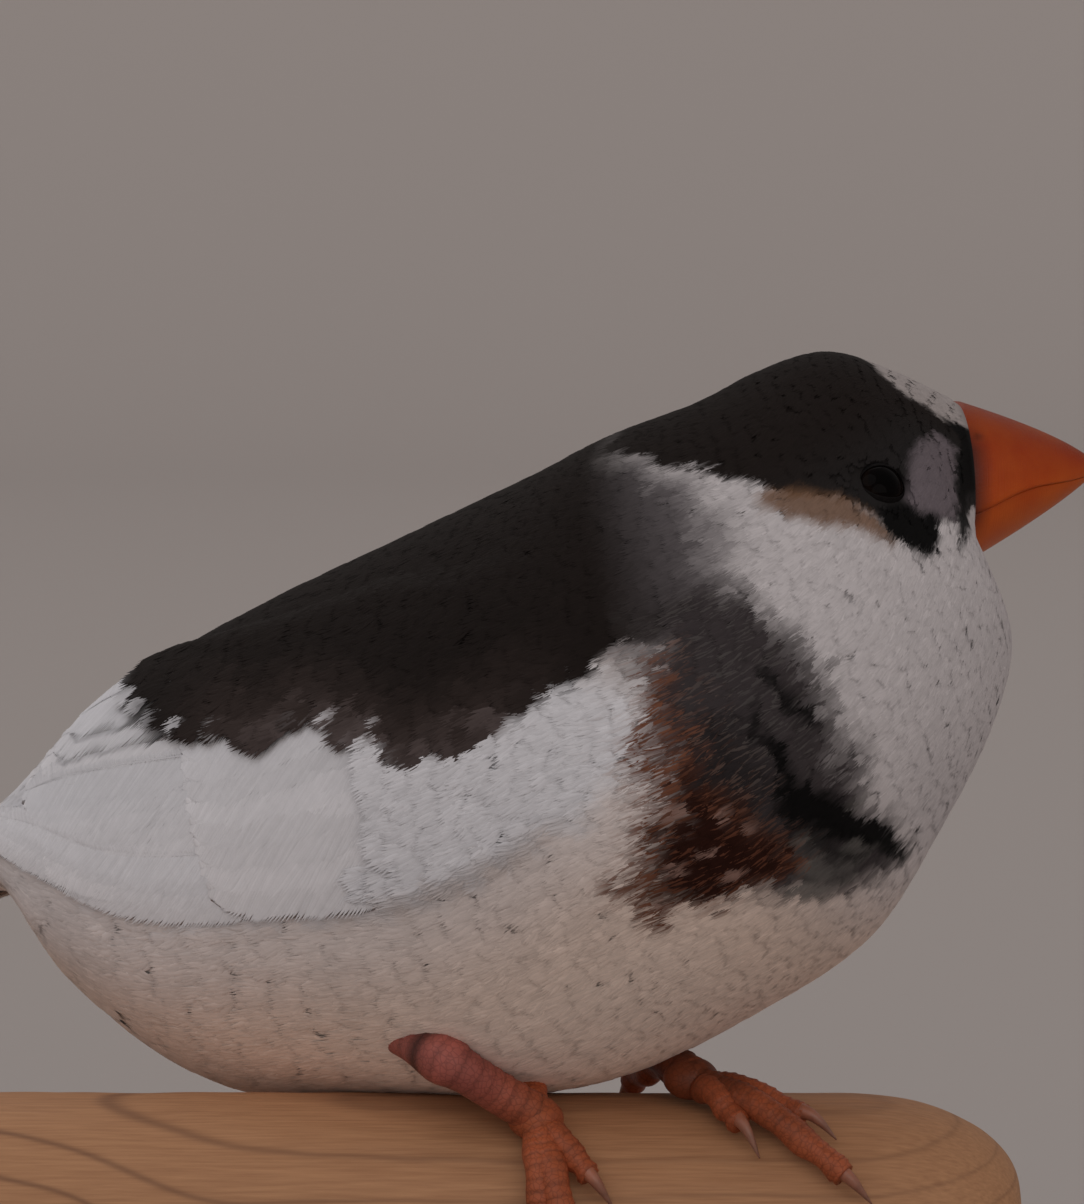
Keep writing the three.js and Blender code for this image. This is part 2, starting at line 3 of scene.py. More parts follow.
import bpy
import numpy as np
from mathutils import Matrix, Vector


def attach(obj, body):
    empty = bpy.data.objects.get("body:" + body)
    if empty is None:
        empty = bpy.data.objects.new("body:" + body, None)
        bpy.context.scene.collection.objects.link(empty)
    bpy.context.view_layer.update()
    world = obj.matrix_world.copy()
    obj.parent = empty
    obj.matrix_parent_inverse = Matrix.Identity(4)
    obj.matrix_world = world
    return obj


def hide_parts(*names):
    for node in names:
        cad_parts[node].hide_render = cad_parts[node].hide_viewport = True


# A pied zebra finch on a cut length of perch, dressed over its CAD frame.
# Sizes are millimetres in the part's own frame, and become metres when a mesh is made.

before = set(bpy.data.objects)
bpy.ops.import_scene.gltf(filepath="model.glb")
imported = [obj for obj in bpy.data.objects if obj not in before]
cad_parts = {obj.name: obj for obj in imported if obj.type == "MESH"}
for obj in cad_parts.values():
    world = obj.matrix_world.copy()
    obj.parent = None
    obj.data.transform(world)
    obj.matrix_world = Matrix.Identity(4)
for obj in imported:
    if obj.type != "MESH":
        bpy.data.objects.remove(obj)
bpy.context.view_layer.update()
mm = 0.001
print("frame loaded")

# The bird's measures are those of the frame's solids
birdPlace = {
    "x": 7.0, "y": 0.5, "yaw": -32.0,  # where the bird sits and which way it heads
    "headTurn": 44.0, "pivot": 13.0,  # the head's turn, and how far ahead it turns
    "turnFrom": 54.0, "turnTo": 77.0,  # the u where the turn begins and where it is whole
}
perch = {
    "radius": 9.0, "axis": 27.0,  # the rod, and the height of its middle
    "left": -38.0, "right": 35.1, "bevel": 0.8,  # its sawn end, its far end and the sawn end's edge
    "endReach": 11.0, "endFace": 3.0,  # length of the rounded far end, and the radius left flat on it
}
perchTop = perch["axis"] + perch["radius"]

# Oval rings along the spine: u, back point, belly point, half width, and how far to the belly it is widest
bodyRings = {
    "tail": (-20, (-62, 9), (-60.5, 3.5), 3.4, 0),
    "tailRoot": (0, (-44.5, 15.6), (-42.5, 10.2), 4.6, 0),
    "vent": (8, (-38.5, 20.4), (-34.5, 3.2), 8, 0.04),
    "rump": (20, (-30.2, 26.2), (-23, -1.6), 12.6, 0.06),
    "hips": (32, (-21, 30.8), (-10, -0.9), 15.2, 0.08),
    "belly": (43, (-11.2, 35), (2.2, 0.9), 16.4, 0.1),
    "breast": (54.5, (-0.9, 39.4), (13.2, 6.2), 16.8, 0.1),
    "shoulders": (61, (4, 41.6), (20.3, 11), 15.6, 0.1),
    "neck": (68, (9.4, 43.6), (25.4, 19), 12.8, 0.12),
    "nape": (74, (13.4, 45.6), (28.4, 25.4), 9.9, 0.12),
    "eyes": (79, (17.6, 46.8), (29, 29), 7.6, 0.1),
    "lores": (83.5, (21.6, 45.7), (27.3, 31.7), 5.8, 0.04),
    "billBase": (86.6, (25.9, 43.7), (26.3, 33.5), 4, 0),
}
bodyEnd = 86.6
knots = np.array([ring[0] for ring in bodyRings.values()], float)
sizes = np.array([[*ring[1], *ring[2], ring[3], ring[4]] for ring in bodyRings.values()], float)
before = np.maximum(np.arange(len(knots)) - 1, 0)
after = np.minimum(np.arange(len(knots)) + 1, len(knots) - 1)
slopes = (sizes[after] - sizes[before]) / (knots[after] - knots[before])[:, None]


def smooth(x, low, high):
    # a soft step from 0 at low to 1 at high
    t = np.clip((x - low) / (high - low), 0, 1)
    return t * t * (3 - 2 * t)


def mix(a, b, t):
    return a + (b - a) * t


def unit(v):
    return v / np.maximum(np.linalg.norm(v, axis=-1, keepdims=True), 1e-9)


def bell(x, middle, width):
    # a soft bump of height 1 round middle
    return np.exp(-(((x - middle) / width) ** 2))


def hermite(t):
    # weights of a cubic piece's start, the slope there, its end and the slope there
    t2, t3 = t * t, t * t * t
    return 2 * t3 - 3 * t2 + 1, t3 - 2 * t2 + t, 3 * t2 - 2 * t3, t3 - t2


def ringAt(u):
    # cubic pieces through the rings' sizes, each slope the chord of its two neighbours
    i = np.clip(np.searchsorted(knots, u, side="left") - 1, 0, len(knots) - 2)
    h = knots[i + 1] - knots[i]
    start, leave, end, arrive = hermite((u - knots[i]) / h)
    weights = (start, leave * h, end, arrive * h)
    values = (sizes[i], slopes[i], sizes[i + 1], slopes[i + 1])
    return sum(weight[..., None] * value for weight, value in zip(weights, values))


def birdPoint(ahead, left, height):
    # from the bird's own frame to the part's
    yaw = math.radians(birdPlace["yaw"])
    x = birdPlace["x"] + ahead * math.cos(yaw) - left * math.sin(yaw)
    y = birdPlace["y"] + ahead * math.sin(yaw) + left * math.cos(yaw)
    return np.stack([x, y, perchTop + height], -1)


def skinPoint(u, angle, grow=0.0):
    # an oval ring at u, with its point at an angle in degrees: 0 is the back, 90 the right side and 180 the
    # belly; it is pushed outwards by grow and turned about the neck with the head
    u, angle, grow = np.broadcast_arrays(*(np.asarray(v, float) for v in (u, angle, grow)))
    backX, backZ, bellyX, bellyZ, wide, low = np.moveaxis(ringAt(u), -1, 0)
    up, out = np.cos(np.radians(angle)), np.sin(np.radians(angle))
    halfX, halfZ = (backX - bellyX) / 2, (backZ - bellyZ) / 2
    grown = (1 + grow / np.hypot(halfX, halfZ)) * up
    right = (wide + grow) * out * (1 - low * up)
    turn = math.radians(birdPlace["headTurn"]) * smooth(u, birdPlace["turnFrom"], birdPlace["turnTo"])
    ahead = (backX + bellyX) / 2 + halfX * grown - birdPlace["pivot"]
    height = (backZ + bellyZ) / 2 + halfZ * grown
    turned = birdPlace["pivot"] + ahead * np.cos(turn) + right * np.sin(turn)
    return birdPoint(turned, ahead * np.sin(turn) - right * np.cos(turn), height)


def skinFrame(u, angle):
    # at a place on the skin: the way to the head and the way round, each per unit of u and of angle, and out
    along = (skinPoint(u + 0.3, angle) - skinPoint(u - 0.3, angle)) / 0.6
    around = (skinPoint(u, angle + 1.0) - skinPoint(u, angle - 1.0)) / 2
    return along, around, unit(np.cross(around, along))


def sideOf(angle):
    # an angle round the body as one down either side, from 0 on the back to 180 on the belly
    return np.abs((angle + 180) % 360 - 180)


def curve(x, table):
    # straight pieces through a table of places and values
    return np.interp(x, [row[0] for row in table], [row[1] for row in table])


# Meshes

bladeLean = 0.35  # how far the shading of a sliver turns to its two sides


def newPiece(
    name, points, faces, material, replaced=(), colour=None, uv=None, uvName="OFBake", normals=None,
):
    # points in millimetres; faces is one array or more of corner numbers, three or four to a face
    faces = faces if isinstance(faces, list) else [faces]
    corners = np.concatenate([part.ravel() for part in faces]).astype(np.int32)
    counts = np.concatenate([np.full(len(part), part.shape[1]) for part in faces])
    mesh = bpy.data.meshes.new(name)
    mesh.vertices.add(len(points))
    mesh.vertices.foreach_set("co", (points * mm).astype(np.float32).ravel())
    mesh.loops.add(len(corners))
    mesh.loops.foreach_set("vertex_index", corners)
    mesh.polygons.add(len(counts))
    mesh.polygons.foreach_set("loop_start", np.concatenate([[0], np.cumsum(counts)[:-1]]).astype(np.int32))
    mesh.update(calc_edges=True)
    mesh.validate()
    mesh.shade_smooth()
    if colour is not None:
        layer = mesh.color_attributes.new("marking", "FLOAT_COLOR", "POINT")
        opaque = np.concatenate([colour, np.ones((len(colour), 1))], 1)
        layer.data.foreach_set("color", opaque.astype(np.float32).ravel())
    if uv is not None:
        layer = mesh.uv_layers.new(name=uvName)
        layer.uv.foreach_set("vector", uv[corners].astype(np.float32).ravel())
    piece = bpy.data.objects.new(name, mesh)
    bpy.context.scene.collection.objects.link(piece)
    mesh.materials.append(material)
    if normals is not None:
        mesh.normals_split_custom_set_from_vertices(normals.tolist())
    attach(piece, "root")
    if replaced:
        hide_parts(*replaced)


def gridFaces(rows, columns, closed=False):
    # four-cornered faces of a grid of points, numbered row by row; closed joins the last column to the first
    i = np.arange(rows - 1)[:, None] * columns
    j = np.arange(columns if closed else columns - 1)
    k = (j + 1) % columns
    return np.stack([i + j, i + k, i + columns + k, i + columns + j], -1).reshape(-1, 4)


def turns(count):
    # angles once round, in radians
    return np.linspace(0, 2 * np.pi, count, endpoint=False)


def tube(rings):
    # a closed skin over rings of points, with a middle point at each end
    rows, columns = rings.shape[:2]
    points = np.concatenate([rings.reshape(-1, 3), rings[0].mean(0)[None], rings[-1].mean(0)[None]])
    j = np.arange(columns)
    k = (j + 1) % columns
    last = (rows - 1) * columns
    caps = [
        np.stack([np.full(columns, rows * columns), k, j], -1),
        np.stack([np.full(columns, rows * columns + 1), last + j, last + k], -1),
    ]
    return points, [gridFaces(rows, columns, True), *caps]


def capped(values):
    # a tube's values, with one more for each of its two middle points
    return np.concatenate([values, values[:1], values[-1:]])


def blades(centres, half, ridge, outs):
    # closed slivers with a three-sided section: each runs from a point through its row of centres to a point,
    # half wide on either side, with a ridge along its upper side
    count, rows = centres.shape[:2]
    across = unit(np.cross(centres[:, -1] - centres[:, 0], outs))[:, None]
    wide = across * half[..., None]
    body = np.stack([centres - wide, centres + wide, centres + outs[:, None] * ridge[..., None]], 2)[:, 1:-1]
    points = np.concatenate([centres[:, :1], body.reshape(count, -1, 3), centres[:, -1:]], 1)
    level = np.broadcast_to(outs[:, None], (count, rows - 2, 3))
    lean = across * bladeLean + 0 * level
    normals = np.stack([level - lean, level + lean, level], 2).reshape(count, -1, 3)
    normals = np.concatenate([outs[:, None], unit(normals), outs[:, None]], 1)
    each = 3 * (rows - 2) + 2
    sides = ((0, 2), (2, 1), (1, 0))
    steps = range(1, 3 * (rows - 3), 3)
    quads = [[r + a, r + b, r + 3 + b, r + 3 + a] for r in steps for a, b in sides]
    last = each - 4
    tris = [[0, 1 + b, 1 + a] for a, b in sides] + [[last + a, last + b, each - 1] for a, b in sides]
    shift = (np.arange(count) * each)[:, None, None]
    faces = [(np.array(tris) + shift).reshape(-1, 3)]
    if quads:
        faces.append((np.array(quads) + shift).reshape(-1, 4))
    return points.reshape(-1, 3), faces, each, normals.reshape(-1, 3)


def bladeRows(values, rows):
    # a value for each row of a blade, spread to the blade's points
    spread = np.repeat(values[:, 1:-1], 3, axis=1)
    return np.concatenate([values[:, :1], spread, values[:, -1:]], 1).reshape(-1, *values.shape[2:])


# Materials

def addNode(tree, kind, inputs=None, **settings):
    node = tree.nodes.new("ShaderNode" + kind)
    for key, value in settings.items():
        setattr(node, key, value)
    for key, value in (inputs or {}).items():
        if isinstance(value, bpy.types.NodeSocket):
            tree.links.new(value, node.inputs[key])
        else:
            node.inputs[key].default_value = value
    return node


def newMaterial(name, **sockets):
    material = bpy.data.materials.new(name)
    material.use_nodes = True
    tree = material.node_tree
    shader = tree.nodes["Principled BSDF"]
    for key, value in sockets.items():
        shader.inputs[key.replace("_", " ")].default_value = value
    return material, tree, shader


def rampNode(tree, fac, stops):
    node = addNode(tree, "ValToRGB", {0: fac})
    elements = node.color_ramp.elements
    while len(elements) < len(stops):
        elements.new(0.5)
    for element, (place, colour) in zip(elements, stops):
        element.position = place
        element.color = (*colour, 1)
    return node.outputs[0]


def feed(shader, name, socket):
    shader.id_data.links.new(socket, shader.inputs[name])


def bump(tree, shader, height, strength, distance):
    node = addNode(tree, "Bump", {"Height": height, "Strength": strength, "Distance": distance})
    feed(shader, "Normal", node.outputs[0])


# The nodes that the materials share, each under a short name

def noise(tree, vector, scale, detail, distortion=0.0):
    inputs = {"Vector": vector, "Scale": scale, "Detail": detail, "Distortion": distortion}
    return addNode(tree, "TexNoise", inputs).outputs[0]


def stretch(tree, vector, scale):
    return addNode(tree, "Mapping", {0: vector, 3: scale}).outputs[0]


def remap(tree, value, old, new):
    # value, moved from the range old to the range new
    return addNode(tree, "MapRange", {0: value, 1: old[0], 2: old[1], 3: new[0], 4: new[1]}).outputs[0]


def combine(tree, operation, *values):
    return addNode(tree, "Math", dict(enumerate(values)), operation=operation).outputs[0]


def multiply(tree, colour, value):
    return addNode(tree, "VectorMath", {0: colour, 1: value}, operation="MULTIPLY").outputs[0]


def blend(tree, share, one, other):
    return addNode(tree, "Mix", {0: share, 6: one, 7: other}, data_type="RGBA").outputs[2]


def objectPlace(tree):
    return addNode(tree, "TexCoord").outputs["Object"]


def painted(tree):
    return addNode(tree, "Attribute", attribute_name="marking").outputs["Color"]


def ownMap(tree, name="OFBake"):
    return addNode(tree, "UVMap", uv_map=name).outputs[0]


def plumageMaterial(name, variation, roughness, sheen):
    # the painted marking, with a fine uneven tone
    material, tree, shader = newMaterial(
        name, Roughness=roughness, Sheen_Weight=sheen, Sheen_Roughness=0.5, Specular_IOR_Level=0.12,
    )
    place = objectPlace(tree)
    fine = noise(tree, place, 1400.0, 3.0)
    broad = noise(tree, place, 160.0, 2.0)
    both = combine(tree, "ADD", fine, broad)
    tone = remap(tree, both, (0.6, 1.4), (1 - variation, 1 + variation))
    toned = multiply(tree, painted(tree), tone)
    feed(shader, "Base Color", toned)
    bump(tree, shader, fine, 0.25, 0.00008)
    return material


skinMaterial = plumageMaterial("downySkin", 0.1, 0.95, 0.03)
coatMaterial = plumageMaterial("softPlumage", 0.045, 0.92, 0.03)
vaneMaterial = plumageMaterial("featherVanes", 0.05, 0.8, 0.04)
print("materials ready")


# Markings

# Paints as linear red, green and blue
paints = {
    "white": (0.76, 0.71, 0.715),
    # the wing's white, tinted cool: partly its own white, partly a painted cool light from the sky above
    "wingWhiteSkyLit": (0.76, 0.745, 0.78),
    "cream": (0.76, 0.575, 0.475),
    # the lowest belly's cream, lighter than the white: partly its own buff, partly painted warm light bounced
    # up from below
    "creamBounceLit": (0.94, 0.77, 0.675),
    "cheek": (0.63, 0.585, 0.595),
    "soot": (0.0145, 0.0100, 0.0088),
    "capGrey": (0.020, 0.0175, 0.0175),
    "sootLow": (0.042, 0.029, 0.026),
    "sootEdge": (0.13, 0.10, 0.097),
    "neckGrey": (0.085, 0.073, 0.078),
    "patchGrey": (0.050, 0.041, 0.043),
    "patchPale": (0.155, 0.145, 0.135),
    "black": (0.0035, 0.003, 0.003),
    "chestnutDark": (0.026, 0.007, 0.004),
    "chestnut": (0.105, 0.036, 0.020),
    "chestnutPale": (0.24, 0.10, 0.06),
    "spot": (0.28, 0.165, 0.135),
    "rust": (0.19, 0.098, 0.052),
    "lore": (0.17, 0.14, 0.155),
    "forehead": (0.42, 0.37, 0.36),
    "tailDark": (0.030, 0.025, 0.023),
}
paints = {name: np.array(value) for name, value in paints.items()}

# Lower edge of the dark mantle and of the dark cap, as the angle round the body at each u
mantleEdge = [
    (20, 26), (26, 46), (31, 59), (36, 65), (38.4, 69), (41, 66), (43, 68), (45, 74), (47, 75), (49, 83),
    (51, 84), (54.8, 85), (57.8, 82), (60, 79), (63, 76),
]
capEdge = [
    (60, 18), (61.6, 23), (64, 29), (65.8, 38), (67, 44), (68.2, 49.3), (69.6, 57.7), (71.5, 66),
    (72.6, 72.5), (73.4, 78), (74.4, 82.5), (75.4, 87), (76.2, 90), (77.4, 93.5), (78.7, 97), (80.5, 100),
    (83, 100), (87, 90),
]

# Patches as corners of u and angle
patches = {
    "wing": [
        (60.5, 84), (60, 98), (57, 106), (50, 107), (42, 106), (28, 101), (14, 88), (3, 70), (-13, 36),
        (15, 20), (36, 45), (46, 50), (56, 66),
    ],
    "neckGrey": [
        (60, 30), (62, 27), (64, 31), (65.6, 42), (66.3, 50), (66.5, 58), (65.9, 66), (65.6, 74), (64, 79),
        (61, 80), (59, 60),
    ],
    "breastSide": [
        (62.3, 74), (65.0, 70), (66.3, 80), (66.8, 88), (66.9, 100), (66.6, 114), (66.1, 127), (65.8, 141),
        (65.5, 155), (64.9, 163), (63.4, 155), (61.8, 144), (60.6, 137), (60.2, 125), (60.4, 112),
        (60.8, 98), (61.4, 84),
    ],
    "dusk": [(62, 96), (63.6, 100), (63.3, 118), (62.9, 132), (61.2, 134), (60.8, 118)],
    "chestnut": [
        (61.9, 82), (62.0, 92), (61.8, 102), (61.9, 112), (62.2, 120), (62.7, 130), (62.6, 136),
        (61.9, 135.5), (60.7, 134.5), (59.7, 133), (58.4, 132), (57.0, 134.5), (56.6, 129), (56.3, 123.5),
        (57.1, 119.5), (58.1, 115.5), (58.8, 112), (59.3, 108), (59.6, 103), (59.5, 97), (60.4, 91),
        (61.2, 86),
    ],
    "chestnutCore": [
        (61.5, 105), (61.9, 116), (62.7, 130), (61.9, 135), (60.2, 133.5), (58.2, 130.5), (57.6, 125),
        (59.0, 118), (60.3, 110),
    ],
    "paleLow": [
        (62.2, 131), (62.9, 129.5), (63.8, 136.5), (64.3, 146.5), (63.3, 150.5), (62.3, 148), (61.9, 140.5),
    ],
    "tear": [
        (73.5, 76.5), (74.3, 77.4), (75.3, 80), (75.6, 84), (76.1, 88), (77.3, 92.2), (76.5, 93.4),
        (75.3, 95), (74.4, 97.3), (73.9, 94.3), (73.5, 89.7), (73.2, 84.3), (73.1, 80.3),
    ],
    "lore": [
        (77.2, 74.5), (78.6, 70.7), (80.8, 68.0), (83.0, 64.5), (84.5, 62), (84.9, 67), (84.3, 81),
        (81.7, 93.5), (79.0, 95.2), (77.1, 90.5), (76.0, 86.5), (75.6, 82.5), (75.6, 79.3), (76.4, 77.3),
    ],
    "billEdge": [
        (85.0, 47), (85.6, 54), (85.6, 64), (85.0, 76), (84.0, 89), (81.9, 96.3), (79.4, 96.8),
        (77.8, 99.2), (76.8, 101.7), (78.3, 103.2), (81.0, 104.2), (84.0, 104.5), (87.5, 104), (87.5, 45),
    ],
    "forehead": [
        (80.9, -6), (81.5, 3), (82.0, 12), (82.0, 26), (82.3, 38), (83.5, 42), (84.3, 46), (84.9, 49),
        (87.5, 46), (87.5, -6),
    ],
    "whiteStreak": [(77.3, 92.6), (78.5, 96.5), (77.6, 99.3), (76.4, 102.2), (75.2, 98.5), (76.1, 94.9)],
}

# Lines as corners of u, angle and half width in millimetres
lines = {
    "bar": [
        (64.3, 109, 0.2), (63.9, 117, 0.5), (63.9, 124, 0.7), (64.3, 131, 0.7), (65.1, 141, 0.6),
        (65.3, 152, 0.45), (65.2, 164, 0.12),
    ],
    "barShade": [(63.5, 120, 0.2), (63.4, 131, 0.35), (64.2, 146, 0.2)],
    "streak": [(65.2, 93, 0.1), (65.5, 102, 0.28), (65.6, 111, 0.12)],
    "streakLow": [(64.4, 98, 0.12), (64.0, 105, 0.26), (64.2, 111, 0.24)],
    "rust": [
        (69.0, 57.5, 0.5), (69.9, 62, 0.85), (70.8, 66.5, 0.85), (71.8, 71.5, 0.75), (72.6, 78, 0.55),
        (73.1, 85, 0.3),
    ],
}

# Pale spots in the chestnut, as lines
spots = [
    [(60.0, 111, 0.3), (60.1, 112, 0.32)],
    [(60.0, 122.5, 0.18), (60.2, 123, 0.2)],
    [(59.0, 123, 0.3), (59.1, 124, 0.3)],
    [(61.6, 116.5, 0.18), (61.7, 117.5, 0.2)],
    [(62.1, 121.5, 0.16), (62.2, 122.5, 0.18)],
    [(60.6, 129.5, 0.22), (60.7, 130.5, 0.24)],
    [(57.6, 129, 0.24), (57.8, 130.5, 0.22)],
]

# How far the markings' edges wander, how far a feather's own reading strays, in millimetres, and the share of
# both on the face
stray = {"along": 0.3, "around": 0.35, "featherAlong": 0.22, "featherAround": 0.25, "onFace": 0.45}
coatThickness = 1.2  # added to the body's half width where the markings are measured


def wander(u, across, size, seed):
    # a smooth uneven value from about -1 to 1, from a few crossing waves of about one size
    draw = np.random.default_rng(seed)
    total = 0
    for _ in range(5):
        turn, phase, scale = draw.uniform(0, 6.28), draw.uniform(0, 6.28), draw.uniform(0.6, 1.7)
        total = total + np.sin((u * math.cos(turn) + across * math.sin(turn)) * 6.28 / (size * scale) + phase)
    return total / 3


def edgeDistance(u, across, corners):
    # how far a place is inside a patch, in millimetres, less than 0 outside it
    nearest = np.full(u.shape, 1e9)
    inside = np.zeros(u.shape, bool)
    for (u0, a0), (u1, a1) in zip(corners, corners[1:] + corners[:1]):
        du, da = u1 - u0, a1 - a0
        t = np.clip(((u - u0) * du + (across - a0) * da) / (du * du + da * da), 0, 1)
        nearest = np.minimum(nearest, np.hypot(u - u0 - t * du, across - a0 - t * da))
        crosses = (a0 > across) != (a1 > across)
        inside ^= crosses & (u < u0 + (across - a0) / np.where(da == 0, 1e-9, da) * du)
    return np.where(inside, nearest, -nearest)


def lineDistance(u, across, places):
    # how far a place is inside a line whose half width changes along it, less than 0 outside it
    nearest = np.full(u.shape, -1e9)
    for (u0, a0, w0), (u1, a1, w1) in zip(places, places[1:]):
        du, da = u1 - u0, a1 - a0
        t = np.clip(((u - u0) * du + (across - a0) * da) / (du * du + da * da), 0, 1)
        nearest = np.maximum(nearest, mix(w0, w1, t) - np.hypot(u - u0 - t * du, across - a0 - t * da))
    return nearest


def perDegree(u):
    # millimetres round the plumage to a degree of angle
    return np.radians(1) * (np.interp(u, knots, sizes[:, 4]) + coatThickness)


def marking(u, angle, ragged=None):
    # The plumage's colour at u and an angle. Angles are turned into millimetres round the body, edges are
    # made ragged by a wandering shift, and each marking is laid over those before it.
    # ragged gives a shift along and around for a whole feather, and a draw for each hair of a wisp.
    scale = perDegree(u)
    side = sideOf(angle)
    around = side * scale
    fine = mix(1.0, stray["onFace"], smooth(u, 66, 72))
    shiftU = fine * stray["along"] * wander(u, around, 2.4, 3)
    shiftA = fine * stray["around"] * wander(u, around, 2.0, 4)
    hair = 0 * around
    if ragged is not None:
        shiftU = shiftU + fine * stray["featherAlong"] * ragged[0]
        shiftA = shiftA + fine * stray["featherAround"] * ragged[1]
        hair = ragged[2] + 0 * around

    def shape(corners, distanceTo, loose=1.0):
        # corners' angles become millimetres with the width at the shape's middle, so shapes keep their angles
        local = perDegree(np.mean([corner[0] for corner in corners]))
        scaled = [(corner[0], corner[1] * local, *corner[2:]) for corner in corners]
        return distanceTo(u + loose * shiftU, (around + loose * shiftA) / scale * local, scaled)

    def within(name, soft):
        return smooth(shape(patches[name], edgeDistance), -soft, soft)

    def along(places, soft):
        return smooth(shape(places, lineDistance, 0.5), -soft, soft)

    # the mantle is dark, browner towards its edge and lighter in streaks along it
    edge = curve(u + shiftU, mantleEdge) * scale - around - shiftA
    mantle = smooth(edge, -0.4, 0.5) * smooth(u + shiftU, 21.5, 24) * (1 - smooth(u, 60.5, 65.5))
    light = (1 - smooth(edge, 0.2, 2.6)) * smooth(u, 33, 41) * (1 - smooth(u, 54, 58))
    light = light * (0.55 + 0.45 * wander(u * 0.4, around * 2.5, 2.2, 9))
    brown = (1 - smooth(edge, 0.5, 6.0)) * smooth(u, 28, 36) * (1 - smooth(u, 54, 60))
    mantlePaint = mix(paints["soot"], paints["sootLow"], brown[..., None])
    mantlePaint = mix(mantlePaint, paints["sootEdge"], np.clip(light, 0, 1)[..., None])

    warm = smooth(side, 92, 150) * (1 - smooth(u, 60, 70))
    # the lowest belly takes the lighter cream: partly its own buff, partly painted bounce light from below
    bounceLit = smooth(side, 112, 145) * (1 - smooth(u, 54, 64))
    lobes = within("breastSide", 0.6) * smooth(wander(u * 1.2, around, 2.6, 21), 0.3, 0.9)
    lobes = lobes * smooth(side, 118, 130)
    cloud = 0.5 + 0.3 * wander(u * 1.2, around, 1.6, 31)
    hairs = within("breastSide", 0.5) * (hair > 0.9) * (1 - smooth(side, 112, 124))
    cap = smooth(curve(u + 0.5 * shiftU, capEdge) * scale - around - shiftA, -0.35, 0.35)
    cap = cap * smooth(u + shiftU, 60, 63)
    wisps = within("chestnut", 2.0) * (1 - within("chestnutCore", 0.8)) * smooth(hair, 0.35, 0.8)
    layers = [
        ("cream", 0.12 + 0.88 * warm),
        ("creamBounceLit", bounceLit * 0.95),
        ("cheek", smooth(u, 58, 68)),
        # the wing's white with its painted cool sky light
        ("wingWhiteSkyLit", within("wing", 1.2)),
        ("neckGrey", within("neckGrey", 2.0) * 0.95),
        ("patchGrey", within("breastSide", 1.0)),
        ("mantle", mantle),
        ("black", within("dusk", 0.9) * 0.55),
        ("patchPale", lobes * 0.7),
        ("patchPale", within("paleLow", 0.5) * cloud),
        ("patchPale", hairs * 0.25),
        ("soot", cap),
        ("capGrey", cap * smooth(side, 45, 75)),
        ("chestnut", np.clip(within("chestnut", 0.6) * (0.8 + 0.3 * hair), 0, 1)),
        ("chestnutDark", within("chestnutCore", 0.8) * (hair < 1.1)),
        ("chestnutPale", wisps * 0.75),
        *[("spot", along(spot, 0.12) * 0.9) for spot in spots],
        ("black", along(lines["barShade"], 0.3) * 0.7),
        ("black", along(lines["bar"], 0.22)),
        ("black", along(lines["streak"], 0.15) * 0.9),
        ("black", along(lines["streakLow"], 0.15) * 0.8),
        ("lore", within("lore", 0.45)),
        ("forehead", within("forehead", 0.35)),
        ("rust", along(lines["rust"], 0.4) * 0.9),
        ("black", within("tear", 0.28)),
        ("cheek", within("whiteStreak", 0.25) * 0.9),
        ("black", within("billEdge", 0.25) * 0.97),
    ]
    colour = np.broadcast_to(paints["white"], (*u.shape, 3))
    for name, weight in layers:
        colour = mix(colour, mantlePaint if name == "mantle" else paints[name], weight[..., None])
    return colour


def unwrap(u, angle):
    # the skin's own unwrap: once round is the width, and the spine's length is the height
    return np.stack([((angle + 180) % 360) / 360, (u + 20) / (bodyEnd + 20)], -1)


# Skin and coat

eye = {"u": 75.1, "angle": 71.5, "radius": 1.75, "sink": 1.35, "wide": 1.5, "tall": 1.16}


def eyeFrame(side):
    # centre, ahead, up and out of an eye, the same as in the frame's solids
    _, _, out = skinFrame(np.array(eye["u"]), np.array(side * eye["angle"]))
    centre = skinPoint(eye["u"], side * eye["angle"]) - out * eye["sink"]
    heading = math.radians(birdPlace["yaw"] + birdPlace["headTurn"])
    ahead = np.array([math.cos(heading), math.sin(heading), 0])
    ahead = unit(ahead - out * (ahead @ out))
    return centre, ahead, side * np.cross(out, ahead), out


def wingRise(u, angle):
    # how far the folded wing's arm lifts the plumage: a low cushion that thins out to all edges
    t = (54.5 - u) / 38.5
    narrow = np.sqrt(np.clip(1 - (2 * t - 1) ** 4, 0, 1))
    across = (np.abs(angle) - (81 - 8 * t)) / np.maximum(31 * narrow, 0.5)
    return 0.8 * narrow * np.clip(1 - across**2, 0, 1) ** 0.7


def skinDepth(u):
    # how deep the skin lies under the tips of the coat
    return curve(u, [(-5, 0.2), (8, 0.21), (56, 0.21), (66, 0.18), (76, 0.13), (87, 0.09)])


def eyeReach(u, angle):
    # distance from the nearer eye's middle, 1 on the rim of the lids
    place = skinPoint(u, angle)
    reach = np.full(place.shape[:-1], 1e9)
    for side in (1, -1):
        centre, ahead, up, out = eyeFrame(side)
        local = place - centre
        x, y = local @ ahead, local @ up
        near = np.hypot(x / (eye["wide"] + 0.25), y / (eye["tall"] + 0.25))
        reach = np.where(local @ out > 0, np.minimum(reach, near), reach)
    return reach


